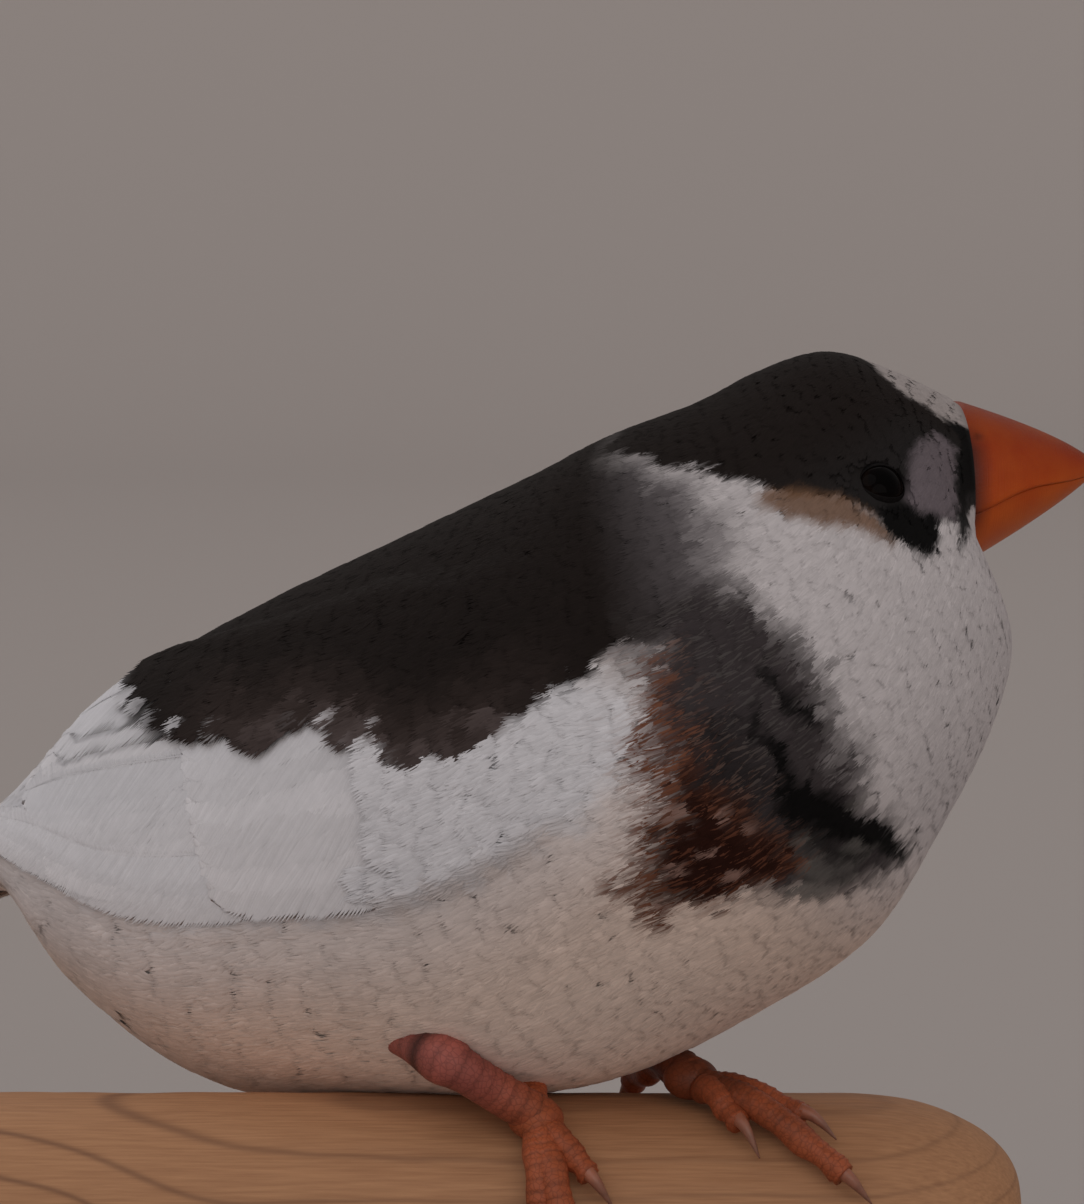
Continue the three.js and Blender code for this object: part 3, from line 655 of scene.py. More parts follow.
coat = {
    # length of a body feather at each u
    "length": [
        (-4, 4.4), (6, 4.0), (25, 3.4), (45, 2.9), (56, 2.5), (61, 2.1), (67, 1.8), (72, 1.5), (76, 1.3),
        (80, 1.15), (84, 1.0), (87, 0.85),
    ],
    # room it takes, to its length squared
    "crowd": [(-4, 0.059), (60, 0.058), (70, 0.074), (80, 0.094), (87, 0.105)],
    "width": 0.62,  # width of a feather to its length
    "jitter": 0.06,  # how far its root is moved, to its length
    "uneven": 6,  # degrees by which it lies askew
    "sink": 0.4,  # how deep it starts, to the depth of the skin
    "rise": 1.3,  # how soon it rises to its full height
    "lift": 0.06,  # how far tips stand over the solids' surface
    "overWing": 1.2,  # height of feathers that lie on the folded wing
    "blades": 12,  # slivers of a feather, and of one on the head
    "faceBlades": 9,
    "round": 0.3,  # how much shorter a feather is at its sides
    "overlap": 1.05,  # width of a sliver to the room it has
}
skinRoom = 0.08  # how far the skin stays under the feathers that lie on the wing
cushionShare = 0.6  # how much of the wing's cushion the skin and the feathers beside the wing follow
held = {"ownShare": 0.25, "lastU": 58, "edgeFromU": 26, "insideEdge": 3.2}  # markings of feathers on the wing
sowSteps = (0.8191725134, 0.6710436067, 0.5497004779)  # steps whose multiples fill a cube evenly

# How far up and down the folded wing reaches, as angles at each u, and the part of it that hides all feathers
wingTop = [(-13, 30), (15, 28), (36, 50), (46, 54), (52, 62)]
wingLow = [(-13, 36), (3.5, 62), (14.5, 82), (28, 98), (42, 104), (50, 105), (57, 104)]
bareTop = [(-13, 46), (8, 54), (12, 40), (36, 56), (45, 60)]


def overWing(u, side):
    # 1 where a folded wing's feathers lie
    low = curve(u, wingLow)
    top = curve(u, wingTop)
    across = smooth(side, top - 20, top - 8) * (1 - smooth(side, low - 2, low + 5))
    return across * (1 - smooth(u, 50, 60)) * smooth(u, -10, 0)


def onWing(u, side):
    # true for feathers of the mantle, and for those ahead of the wing's vanes: they lie on the wing
    return ((side < curve(u, mantleEdge) - 0.6) & (u > 24)) | (u > 45.5)


def makeSkin():
    # the oval rings on a fine grid, sunk under the coat, with a hollow where each eye sits
    rows, columns = 260, 200
    u = np.linspace(-1.5, bodyEnd, rows)[:, None] + np.zeros((1, columns))
    angle = np.linspace(-180, 180, columns, endpoint=False)[None] + np.zeros((rows, 1))
    side = sideOf(angle)
    raised = np.maximum(smooth(u, 44.5, 47.5), smooth(curve(u, mantleEdge) - side, 1, 4) * smooth(u, 25, 28))
    bed = (coat["overWing"] - skinRoom) * overWing(u, side) * raised
    grow = np.maximum(cushionShare * wingRise(u, angle), bed) - skinDepth(u)
    grow = grow - 0.5 * (1 - smooth(eyeReach(u, angle), 0.6, 1.1))
    points, faces = tube(skinPoint(u, angle, grow))
    # the skin is painted a little darker than the markings, a painted shade under the coat
    colour = marking(u, angle).reshape(-1, 3) * 0.92
    ends = [colour[:columns].mean(0), colour[-columns:].mean(0)]
    uv = unwrap(u, angle).reshape(-1, 2)
    uv = np.concatenate([uv, [[0.5, 0], [0.5, 1]]])
    newPiece(
        "skin", points, faces, skinMaterial, ("head", "neck", "breast", "torso"),
        np.concatenate([colour, ends]), uv,
    )


makeSkin()
print("skin made")


def sowRoots(low, high, seed):
    # places spread evenly over the skin by steps that never clump, thinned to the room a feather takes
    def crowding(u, angle):
        along, around, _ = skinFrame(u, angle)
        area = np.linalg.norm(np.cross(along, around), axis=-1)
        return area / (curve(u, coat["crowd"]) * curve(u, coat["length"]) ** 2)

    most = crowding(*np.meshgrid(np.linspace(low, high, 60), np.linspace(-180, 180, 90))).max()
    i = np.arange(int(most * (high - low) * 360)) + 997 * seed
    alongStep, aroundStep, chance = (step * i % 1 for step in sowSteps)
    u = low + (high - low) * alongStep
    angle = -180 + 360 * aroundStep
    keep = chance * most < crowding(u, angle)
    return u[keep], angle[keep]


def visibleRoots(u, angle):
    # no feathers under the wing's vanes, in the eyes, or over the barred feathers at the tail's root
    side = np.abs(angle)
    hidden = (side > curve(u, bareTop)) & (side < curve(u, wingLow) - 6) & ~onWing(u, side)
    return ~hidden & (eyeReach(u, angle) > 1.1) & ~((u < 3) & (side < 60))


def coatPiece(name, low, high, seed):
    # each feather is a fan of thin slivers: they leave its shaft, part to both sides and end on a round
    # outline, rising from the skin to lie over the roots of those behind
    draw = np.random.default_rng(seed)
    u, angle = sowRoots(low, high, seed)
    keep = visibleRoots(u, angle)
    u, angle = (place[keep][:, None, None] for place in (u, angle))
    number = coat["faceBlades"] if low >= 68 else coat["blades"]
    rows = 3
    count = len(u)
    perFeather, perBlade = (count, 1, 1), (count, number, 1)
    move = draw.normal(0, coat["jitter"], perFeather) * curve(u, coat["length"])
    u = np.clip(u + move, low - 0.4, bodyEnd - 0.1)
    along, around, out = skinFrame(u, angle)
    perU, perAngle = np.linalg.norm(along, axis=-1), np.linalg.norm(around, axis=-1)
    length = curve(u, coat["length"]) * draw.uniform(0.85, 1.15, perFeather)
    length = np.minimum(length, 0.35 + 1.2 * np.maximum(eyeReach(u, angle) - 1, 0))
    width = coat["width"] * length
    side = np.abs(angle)
    lie = draw.normal(0, coat["uneven"], perFeather) + 14 * smooth(u, 60, 74) * np.sin(np.radians(angle))
    lie = np.radians(lie)
    below = side > curve(u, wingLow) - 6
    raised = np.where(below, smooth(u, 39, 47), onWing(u, side))

    # s is the way along a blade, q its side of the shaft and start its root's place along the shaft
    s = np.array([0, 0.45, 1])
    q = (np.arange(number) + 0.5) / number * 2 - 1
    q = q[:, None] + draw.normal(0, 0.5 / number, perBlade)
    start = draw.uniform(0.0, 0.35, perBlade)
    reach = (1 - coat["round"] * q**2) * draw.normal(1, 0.05, perBlade)
    x = length * (start + (reach - start) * s)
    y = width / 2 * q * mix(0.3, 1.0, s**0.8)
    share = x / length
    tip = coat["lift"] * draw.uniform(0.3, 1.3, perFeather) + draw.normal(0, 0.015, perBlade)
    tip = tip * np.minimum(1, length / 2.8)
    z = mix(-skinDepth(u) * coat["sink"], tip, 1 - np.clip(1 - share, 0, 1) ** coat["rise"])
    z = z - 0.05 * q**2 * width * share
    bladeU = np.minimum(u - (x * np.cos(lie) - y * np.sin(lie)) / perU, bodyEnd)
    bladeAngle = angle + (x * np.sin(lie) + y * np.cos(lie)) / perAngle
    bladeSide = sideOf(bladeAngle)
    cushion = wingRise(bladeU, bladeSide)
    bed = np.maximum(cushion, coat["overWing"] * overWing(bladeU, bladeSide))
    bed = mix(cushionShare * cushion, bed, raised)
    centres = skinPoint(bladeU, bladeAngle, z + bed).reshape(-1, rows, 3)
    half = width / number * coat["overlap"] * draw.uniform(0.8, 1.25, perBlade)
    half = half.reshape(-1, 1) * np.ones((1, rows))
    outs = np.repeat(out.reshape(-1, 3), number, 0)
    points, faces, _, normals = blades(centres, half, 0.015 + 0.2 * half, outs)

    # the marking is read where each half of a blade lies; feathers that overhang the wing keep their root's
    # marking and read no further out than the mantle's edge
    onMantle = onWing(u, side) & (side < curve(u, mantleEdge)) & (u < held["lastU"])
    own = np.where(onMantle, held["ownShare"], 1.0)
    readU = mix(u, bladeU[..., 1:] + [0.0, 0.12] * length, own)
    readAngle = mix(angle, bladeAngle[..., 1:], own)
    inner = np.minimum(np.abs(readAngle), curve(u, mantleEdge) - held["insideEdge"])
    readAngle = np.where(onMantle & (u > held["edgeFromU"]), np.sign(readAngle) * inner, readAngle)
    shift = [draw.normal(0, 1, size) for size in (perFeather, perFeather, perBlade)]
    colour = marking(readU, readAngle, shift)
    colour = np.concatenate([colour[:, :, :1], colour], 2)
    tone = draw.normal(1, 0.04, perBlade) * draw.normal(1, 0.03, perFeather)
    # each blade is darker at its root, partly grey down and partly painted shade under the feathers over it,
    # and a little lighter at its tip
    colour = colour * (tone * np.interp(s, [0, 0.5, 1], [0.9, 1.0, 1.02]))[..., None]
    uv = unwrap(u, angle) + 0.003 * np.stack(np.broadcast_arrays(q / 2, s - 0.5), -1)
    colour, uv = (bladeRows(value.reshape(-1, rows, value.shape[-1]), rows) for value in (colour, uv))
    newPiece(name, points, faces, coatMaterial, (), colour, uv, normals=normals)
    print(name, count, "feathers", count * number * (6 * rows - 12), "triangles")


coatPieces = {
    "coat_tail_root": (-3.5, 16),
    "coat_rump": (16, 30),
    "coat_hips": (30, 40),
    "coat_back": (40, 48),
    "coat_breast": (48, 55),
    "coat_shoulders": (55, 60),
    "coat_collar": (60, 63.5),
    "coat_neck": (63.5, 66.5),
    "coat_nape": (66.5, 70),
    "coat_crown": (70, 74),
    "coat_head": (74, 78),
    "coat_brow": (78, 82),
    "coat_face": (82, 86.4),
}
for seed, (name, (low, high)) in enumerate(coatPieces.items()):
    coatPiece(name, low, high, 100 + seed)
print("coat made")


# Wing and tail feathers

wingTiers = {
    "median": {
        "count": 9, "width": 3.8, "stand": (0.76, 0.62), "taper": 0, "curl": 1,
        "first": ((47, 60), (38, 58)), "last": ((51, 98), (40, 95)),
    },
    "coverts": {
        "count": 9, "width": 4.8, "stand": (0.66, 0.55), "taper": 0, "curl": 1,
        "first": ((42, 58), (29, 56)), "last": ((46, 100), (30, 94)),
    },
    "tertials": {
        "count": 4, "width": 7, "stand": (0.56, 0.52), "taper": 0, "curl": 1,
        "first": ((34, 48), (13, 26)), "last": ((36, 63), (8, 44)),
    },
    "secondaries": {
        "count": 7, "width": 5.6, "stand": (0.48, 0.46), "taper": 0, "curl": 1,
        "first": ((36, 68), (8, 51)), "last": ((37, 88), (11, 78)),
    },
    "primaries": {
        "count": 7, "width": 4.6, "stand": (0.38, 0.42), "taper": 0.5, "curl": 2,
        "first": ((38, 88), (4, 57)), "last": ((42, 98), (-13, 34)),
    },
}
vane = {
    "tilt": 0.02, "thickness": 0.06,
    "overlap": 0.15,  # how far the first feather of a tier lies over the last
    "barbs": 4.2, "barbSlant": 1.15, "lastBarb": 0.985,  # barbs per millimetre, and how far along they end
}
# the vane sheet lies under the barbs and is a little darker, a painted shade; the shaft is a little paler
partTones = {"vane": 0.97, "shaft": 1.02, "barbs": 1.0}
barbCorners = 8  # points of one barb


def vaneHalf(t, width, taper):
    # half the vane's width: it widens soon after the root, narrows by taper and closes in a round tip
    half = width / 2 * (1 - taper * t * t) * np.minimum(1, 0.45 + 2.4 * t)
    return half * np.sqrt(np.clip(1 - t**7, 0.0, 1))


def featherPieces(spot, width, taper, tilt, draw):
    # A feather from spot, a function that gives the point at t along it, at y across it and at z over it.
    # A thin vane carries the shaft, and barbs leave the shaft on both sides, run slanting to the edge and end
    # there in points.
    t = np.linspace(0, 1, 15)
    length = np.linalg.norm(np.diff(spot(t, 0 * t, 0 * t), axis=0), axis=-1).sum()
    half = vaneHalf(t * vane["lastBarb"], width, taper) * 0.9
    q = np.array([-1, -0.5, 0, 0.5, 1, 0.5, 0, -0.5])
    face = np.array([0, 1, 1, 1, 0, -1, -1, -1])
    y = half[:, None] * q
    z = y * tilt - 0.05 + face * 0.5 * vane["thickness"] * (1 - t[:, None] * 0.6)
    sheetPoints, sheetFaces = tube(spot(t[:, None] + 0 * y, y, z))
    sheetT = np.concatenate([np.repeat(t, 8), [0, 1]])

    # the shaft, a slim tapering rod on top
    turn = turns(6)
    thick = mix(0.1, 0.03, t)[:, None]
    rodPoints, rodFaces = tube(spot(t[:, None] + 0 * turn, thick * np.sin(turn), thick * np.cos(turn) - 0.03))
    rodT = np.concatenate([np.repeat(t, 6), [0, 1]])

    # barbs
    number = int(length * vane["barbs"])
    s = np.array([0, 0.12, 0.65, 1])
    parts = []
    for hand in (1, -1):
        begin = np.linspace(0.02, vane["lastBarb"], number) + draw.normal(0, 0.1 / number, number)
        slant = vane["barbSlant"] * (1 + 0.15 * np.sin(begin * 23 + hand * 2 + draw.uniform(0, 6)))
        reach = vaneHalf(np.clip(begin + 0.04, 0, vane["lastBarb"]), width, taper)
        reach = reach * draw.normal(1.0, 0.025, number)
        away = reach[:, None] * s
        place = np.minimum(begin[:, None] + slant[:, None] * reach[:, None] * s**1.3 / length, 1)
        away = np.minimum(away, vaneHalf(np.clip(place, 0, 0.998), width * 1.03, taper) + 0.15)
        y = away * hand
        z = y * tilt + 0.02 - 0.05 * s**4 + draw.normal(0, 0.006, (number, 1))
        centre = spot(place, y, z)
        out = unit(spot(place[:, :1], y[:, :1], z[:, :1] + 0.5) - centre[:, :1])[:, 0]
        parts.append((centre, out, begin))
    centres, outs, begins = (np.concatenate(rows) for rows in zip(*parts))
    spacing = length / number
    half = np.full((len(centres), 4), spacing * 0.68) * np.array([0, 1, 0.85, 0])
    barbPoints, barbFaces, each, barbNormals = blades(centres, half, half * 0.2 + 0.01, outs)
    barbT = np.repeat(np.minimum(begins + 0.04, 1), each)
    return [
        (sheetPoints, sheetFaces, sheetT, "vane", 0 * sheetPoints),
        (rodPoints, rodFaces, rodT, "shaft", 0 * rodPoints),
        (barbPoints, barbFaces, barbT, "barbs", barbNormals),
    ]


def joinParts(parts):
    # one set of points and faces from several
    points, threes, fours, start = [], [], [], 0
    for part in parts:
        points.append(part[0])
        for faces in part[1]:
            (threes if faces.shape[1] == 3 else fours).append(faces + start)
        start += len(part[0])
    return np.concatenate(points), [np.concatenate(group) for group in (threes, fours) if group]


def featherMesh(name, feathers, replaced, seed):
    # feathers is a list of spot, width, taper, tilt, paint along the feather, and its root on the unwrap; a
    # feather's vane, shaft and barbs are each a little different in tone, the vane sheet under the barbs a
    # little darker with painted shade
    draw = np.random.default_rng(seed)
    parts, colours, uvs, normals = [], [], [], []
    for spot, width, taper, tilt, paintAt, root in feathers:
        for points, faces, t, kind, normal in featherPieces(spot, width, taper, tilt, draw):
            tone = draw.normal(1, 0.03)
            colour = paintAt(t) * partTones[kind]
            if kind == "barbs":
                each = draw.normal(1, 0.025, len(t) // barbCorners)
                colour = colour * np.repeat(each, barbCorners)[:, None]
            parts.append((points, faces))
            normals.append(normal)
            colours.append(colour * tone)
            across = 0.001 * list(partTones).index(kind)
            uvs.append(root + np.stack([np.full(len(t), across), 0.02 * t], -1))
    points, faces = joinParts(parts)
    colour, uv, normal = (np.concatenate(rows) for rows in (colours, uvs, normals))
    newPiece(name, points, faces, vaneMaterial, replaced, colour, uv, normals=normal)
    print(name, sum(len(part) * (part.shape[1] - 2) for part in faces), "triangles")


def wingSpots(side, root, tip, stand, curl):
    # The points of a feather that hugs the body's side from root to tip, both u and angle, at its stand over
    # the skin: y across it is turned into steps of u and angle, square to the way it runs.
    def spot(t, y, z):
        f = np.clip(t, 0.001, 1)
        u = mix(root[0], tip[0], t)
        angle = side * mix(root[1], tip[1], f**curl)
        along, around, out = skinFrame(u, angle)
        turning = side * (tip[1] - root[1]) * curl * f ** (curl - 1)
        ahead = unit(along * (tip[0] - root[0]) + around * turning[..., None])
        across = side * unit(np.cross(out, ahead))
        stepU = (across * along).sum(-1) / (along * along).sum(-1)
        stepAngle = (across * around).sum(-1) / (around * around).sum(-1)
        return skinPoint(u + y * stepU, angle + y * stepAngle, mix(stand[0], stand[1], t) + z)
    return spot


def wingFeathers(side):
    # tiers of feathers, each fanned evenly from its first feather to its last
    feathers = []
    for tier in wingTiers.values():
        for i in range(tier["count"]):
            t = i / (tier["count"] - 1)
            root = [mix(a, b, t) for a, b in zip(tier["first"][0], tier["last"][0])]
            tip = [mix(a, b, t) for a, b in zip(tier["first"][1], tier["last"][1])]
            stand = [height + vane["overlap"] * (1 - t) for height in tier["stand"]]
            # the wing's white with its painted cool sky light, blended towards plain white
            white = mix(paints["wingWhiteSkyLit"], paints["white"], 0.3 * t)

            def paintAt(s, white=white, root=root, tip=tip, curl=tier["curl"]):
                # dark where it lies well under the mantle
                place = mix(root[0], tip[0], s)
                under = curve(place, mantleEdge) - mix(root[1], tip[1], s**curl)
                under = smooth(under, 3, 8) * smooth(place, 25, 29)
                white = white * np.interp(s, [0, 0.9, 1], [0.95, 1, 1.03])[:, None]
                return mix(white, paints["soot"], under[:, None])

            spot = wingSpots(side, root, tip, stand, tier["curl"])
            place = unwrap(np.array(root[0]), np.array(side * root[1]))
            feathers.append((spot, tier["width"], tier["taper"], vane["tilt"], paintAt, place))
    return feathers


for side, hand in ((1, "right"), (-1, "left")):
    featherMesh("wing_feathers_" + hand, wingFeathers(side), ("wing_" + hand,), 40 + side)

tail = {
    "ahead": 3.0, "height": 13.4, "slope": -20,  # where the tail's own frame starts, and its slope
    "feathers": 12, "length": 38, "root": 3, "notch": 2.5, "width": 4.4, "spread": 5,
    "stack": 0.32, "step": 0.38, "tilt": 0.1, "camber": 60.0,
}


# The short feathers over and under the tail's root; start is how far ahead the middle one starts, how far out
# the last ones do and the middle one's height
tailCoverts = {
    "upper": {
        "count": 9, "start": (5.0, 2.6, 2.3), "back": 1.5, "arch": -1.2, "fan": 9, "length": 15, "sag": 0.6,
        "width": 3.4, "tilt": -0.15,
    },
    "under": {
        "count": 7, "start": (4.0, 2.2, -2.2), "back": 0, "arch": 0.8, "fan": 7, "length": 16, "sag": 0.0,
        "width": 3.6, "tilt": 0.15,
    },
}


def tailPoint(x, y, z):
    # from the tail's own frame, x ahead, y left and z up, to the part's
    slope = math.radians(tail["slope"])
    ahead = x * math.cos(slope) + z * math.sin(slope) + bodyRings["tailRoot"][1][0] + tail["ahead"]
    height = -x * math.sin(slope) + z * math.cos(slope) + tail["height"]
    return birdPoint(ahead, y, height)


def tailSpots(start, fan, length, sag, side):
    # a straight feather backwards in the tail's frame, fanned out, its end drooping by sag and its edges
    # arched
    def spot(t, y, z):
        across = -y * side
        ahead = start[0] - length * t * math.cos(fan) + across * math.sin(fan)
        left = start[1] + length * t * math.sin(fan) + across * math.cos(fan)
        return tailPoint(ahead, left, start[2] - sag * t * t - y * y / tail["camber"] + z)
    return spot


def barred(s):
    # black with broad white bars
    bars = smooth(np.sin(s * 15.0 + 0.6), 0.1, 0.5) * (s > 0.15)
    return mix(paints["black"] * 1.6, paints["white"], bars[:, None])


def cream(s):
    return np.broadcast_to(paints["cream"], (len(s), 3))


def tailFeathers():
    # the long feathers, fanned to both sides in layers, and the short ones over and under their roots
    feathers = []
    half = tail["feathers"] // 2
    for rank in range(half):
        for side in (1, -1):
            fan = math.radians(tail["spread"] / 2 * (rank / (half - 1)) * side)
            layer = rank + (0.5 if side > 0 else 0)
            start = (0.0, (0.6 + tail["step"] * rank) * side, 1.2 - tail["stack"] * layer)
            length = tail["length"] + tail["root"] - tail["notch"] * abs(rank / 5 - 0.7)
            outer = rank == half - 1

            def paintAt(s, outer=outer):
                pale = smooth(s, 0.9, 1) * (0.5 if outer else 0.15)
                return mix(paints["tailDark"], paints["white"], pale[:, None])

            spot = tailSpots(start, fan, length, 0.0, side)
            place = unwrap(np.array(-2.0 - rank), np.array(8.0 * side))
            feathers.append((spot, tail["width"], 0, -tail["tilt"], paintAt, place))
    for name, tier in tailCoverts.items():
        middle = (tier["count"] - 1) / 2
        upper = name == "upper"
        for i in range(tier["count"]):
            k = (i - middle) / middle
            side = 1 if k >= 0 else -1
            ahead, left, height = tier["start"]
            start = (ahead - tier["back"] * abs(k), k * left, height + tier["arch"] * k * k)
            length = tier["length"] - 3 * abs(k)
            face = side if upper else -side
            spot = tailSpots(start, math.radians(tier["fan"] * k), length, tier["sag"], face)
            place = (0.0, 10.0 * k) if upper else (1.0, 170.0 * side)
            paintAt = barred if upper else cream
            feathers.append((spot, tier["width"], 0, tier["tilt"], paintAt, unwrap(*np.array(place))))
    return feathers


featherMesh("tail_feathers", tailFeathers(), ("tail",), 77)
print("wing and tail feathers made")


# Eyes and lids

def ballRings(rows, columns):
    # rings of a ball of radius 1, from its top down
    down = np.linspace(0.001, np.pi - 0.001, rows)[:, None]
    turn = turns(columns)[None]
    return np.stack([np.sin(down) * np.cos(turn), np.sin(down) * np.sin(turn), np.cos(down) + 0 * turn], -1)


def eyeMaterial():
    # a near-black wet eye with a faint brown ring
    material, tree, shader = newMaterial("wetEye", Roughness=0.05, IOR=1.34, Specular_IOR_Level=0.05)
    uv = ownMap(tree)
    height = addNode(tree, "SeparateXYZ", {0: uv}).outputs[1]
    streak = noise(tree, uv, 60.0, 2.0)
    shifted = remap(tree, streak, (0.0, 1.0), (-0.02, 0.02))
    place = combine(tree, "ADD", height, shifted)
    rings = [
        (0.0, (0.002, 0.002, 0.002)), (0.2, (0.003, 0.002, 0.002)), (0.24, (0.006, 0.003, 0.002)),
        (0.33, (0.003, 0.002, 0.002)),
    ]
    feed(shader, "Base Color", rampNode(tree, place, rings))
    return material


def lidMaterial():
    # bare dark skin with fine folds
    material, tree, shader = newMaterial("eyelid", Roughness=0.75, Specular_IOR_Level=0.1)
    folds = noise(tree, objectPlace(tree), 3500.0, 3.0)
    colour = rampNode(tree, folds, [(0.3, (0.003, 0.0025, 0.0025)), (0.75, (0.008, 0.006, 0.006))])
    feed(shader, "Base Color", colour)
    bump(tree, shader, folds, 0.5, 0.00005)
    return material


eyeCoat = eyeMaterial()
lidSkin = lidMaterial()


def makeEye(side, hand):
    # a ball with its top turned outwards, in the hollow of the skin
    centre, ahead, up, out = eyeFrame(side)
    axes = np.array([ahead, up, out])
    rows, columns = 40, 48
    points, faces = tube(centre + (ballRings(rows, columns) * eye["radius"]) @ axes)
    across, down = np.meshgrid(np.linspace(0, 1, columns), np.linspace(0, 1, rows))
    uv = np.concatenate([np.stack([across, down], -1).reshape(-1, 2), [[0, 0], [0, 1]]])
    newPiece("eyeball_" + hand, points, faces, eyeCoat, ("eye_" + hand,), None, uv)

    # lids: a ring with a round rim, lower at the front, lying on the ball and ending under the feathers
    rows, columns = 12, 72
    turn = turns(columns)[None]
    roll = np.linspace(-0.4, 2.6, rows)[:, None]
    rimWide, rimTall = eye["wide"] - 0.05, eye["tall"] - 0.06 - 0.1 * np.clip(np.sin(turn), 0, 1)
    swell = 0.1
    flare = 0.25 * np.clip(roll - 1.6, 0, 1)
    x = (rimWide + swell - swell * np.cos(roll) + flare) * np.cos(turn)
    y = (rimTall + swell - swell * np.cos(roll) + flare) * np.sin(turn)
    onBall = np.sqrt(np.clip((eye["radius"] + 0.02) ** 2 - x * x - y * y, 0.05, None))
    z = onBall + swell * np.sin(roll)
    lid = centre + np.stack([x, y, z], -1) @ axes
    inner = centre + np.stack([x, y, z - 0.5], -1)[::-1] @ axes
    points = np.concatenate([lid, inner])
    faces = gridFaces(len(points), columns, True)
    seam = np.arange(columns)
    nextSeam = (seam + 1) % columns
    last = (len(points) - 1) * columns
    faces = np.concatenate([faces, np.stack([last + seam, last + nextSeam, nextSeam, seam], -1)])
    faces = faces if side < 0 else faces[:, ::-1]
    newPiece("eyelids_" + hand, points.reshape(-1, 3), faces, lidSkin)


for side, hand in ((1, "right"), (-1, "left")):
    makeEye(side, hand)
print("eyes made")


# Bill

bill = {"length": 9.0, "top": 5.0, "bottom": 5.1, "wide": 3.8, "tipRise": 0.9, "sink": 1.2, "gap": 0.025}
nostril = {"along": 0.45, "up": 3.0, "length": 0.3, "height": 0.16, "depth": 0.25}
billRoot = (skinPoint(bodyEnd, 0) + skinPoint(bodyEnd, 180)) / 2
billHeading = math.radians(birdPlace["yaw"] + birdPlace["headTurn"])


def billSizes(t):
    # at t along the bill: its top, its bottom, its half width and the line of the mouth, curves that meet at
    # the tip
    s = np.maximum(t, 0)
    top = bill["tipRise"] * s + bill["top"] * np.clip(1 - s, 0, 1) ** 0.72
    bottom = bill["tipRise"] * s - bill["bottom"] * np.clip(1 - s, 0, 1) ** 0.8
    wide = bill["wide"] * np.clip(1 - s**1.5, 0, 1) ** 0.8
    mouth = mix(-1.7, bill["tipRise"] - 0.25, s) + 0.9 * np.sin(np.pi * s) ** 2 * (1 - s)
    return top, bottom, wide, mouth


def billHalf(name, upper, material):
    # rings of an oval cone cut along the line of the mouth, on a fine grid, with the nostrils pressed in
    rows, arc, flat = 90, 72, 16
    t = mix(-bill["sink"] / bill["length"], 0.995, np.sin(np.linspace(0, np.pi / 2, rows)))[:, None]
    top, bottom, wide, mouth = billSizes(t)
    middle, half = (top + bottom) / 2, (top - bottom) / 2
    line = mouth + (0.5 if upper else -0.5) * bill["gap"]
    cut = np.arccos(np.clip((line - middle) / half, -1, 1))
    if upper:
        turn = mix(-cut, cut, np.linspace(0, 1, arc)[None])
    else:
        turn = mix(cut, 2 * np.pi - cut, np.linspace(0, 1, arc)[None])
    fromTop = turn % (2 * np.pi)
    edge = bell(np.abs(np.pi - fromTop), np.pi - cut, 0.16)
    keel = bell(np.minimum(fromTop, 2 * np.pi - fromTop), 0, 0.25) if upper else 0
    swell = (0.035 if upper else -0.03) * edge * smooth(1 - t, 0, 0.4)
    y = -wide * np.sin(turn) * (1 + swell)
    z = middle + half * np.cos(turn) * (1 + 0.02 * keel)
    x = t * bill["length"] + 0 * turn
    pit = 0 * x
    if upper:
        near = (x - nostril["along"]) / nostril["length"], (z - nostril["up"]) / nostril["height"]
        pit = np.exp(-(near[0] ** 2 + near[1] ** 2))
        y = y - np.sign(y) * nostril["depth"] * pit
    inward = np.linspace(0, 1, flat + 2)[None, 1:-1]
    floorY = mix(y[:, -1:], y[:, :1], inward)
    floorZ = line + (0.25 if upper else -0.2) * np.sin(np.pi * inward) * smooth(1 - t, 0, 0.3)
    x = np.concatenate([x, t * bill["length"] + 0 * inward], 1)
    y = np.concatenate([y, floorY], 1)
    z = np.concatenate([z, floorZ], 1)
    cosine, sine = math.cos(billHeading), math.sin(billHeading)
    rings = billRoot + np.stack([x * cosine - y * sine, x * sine + y * cosine, z], -1)
    points, faces = tube(rings)
    around = np.linspace(0, 1, arc + flat)[None] + 0 * t
    uv = np.stack([t + 0 * around, around], -1).reshape(-1, 2)
    uv = np.concatenate([uv, [[0, 0.5], [1, 0.5]]])
    # a painted shade in the nostrils' pits
    shade = 1 - 0.55 * np.concatenate([pit, np.zeros((rows, flat))], 1)
    high = (z - bottom) / (top - bottom)
    colour = capped(np.stack([np.clip(t + 0 * z, 0, 1), high, shade], -1).reshape(-1, 3))
    newPiece(name, points, faces, material, (name.replace("horn", "bill"),), colour, uv)


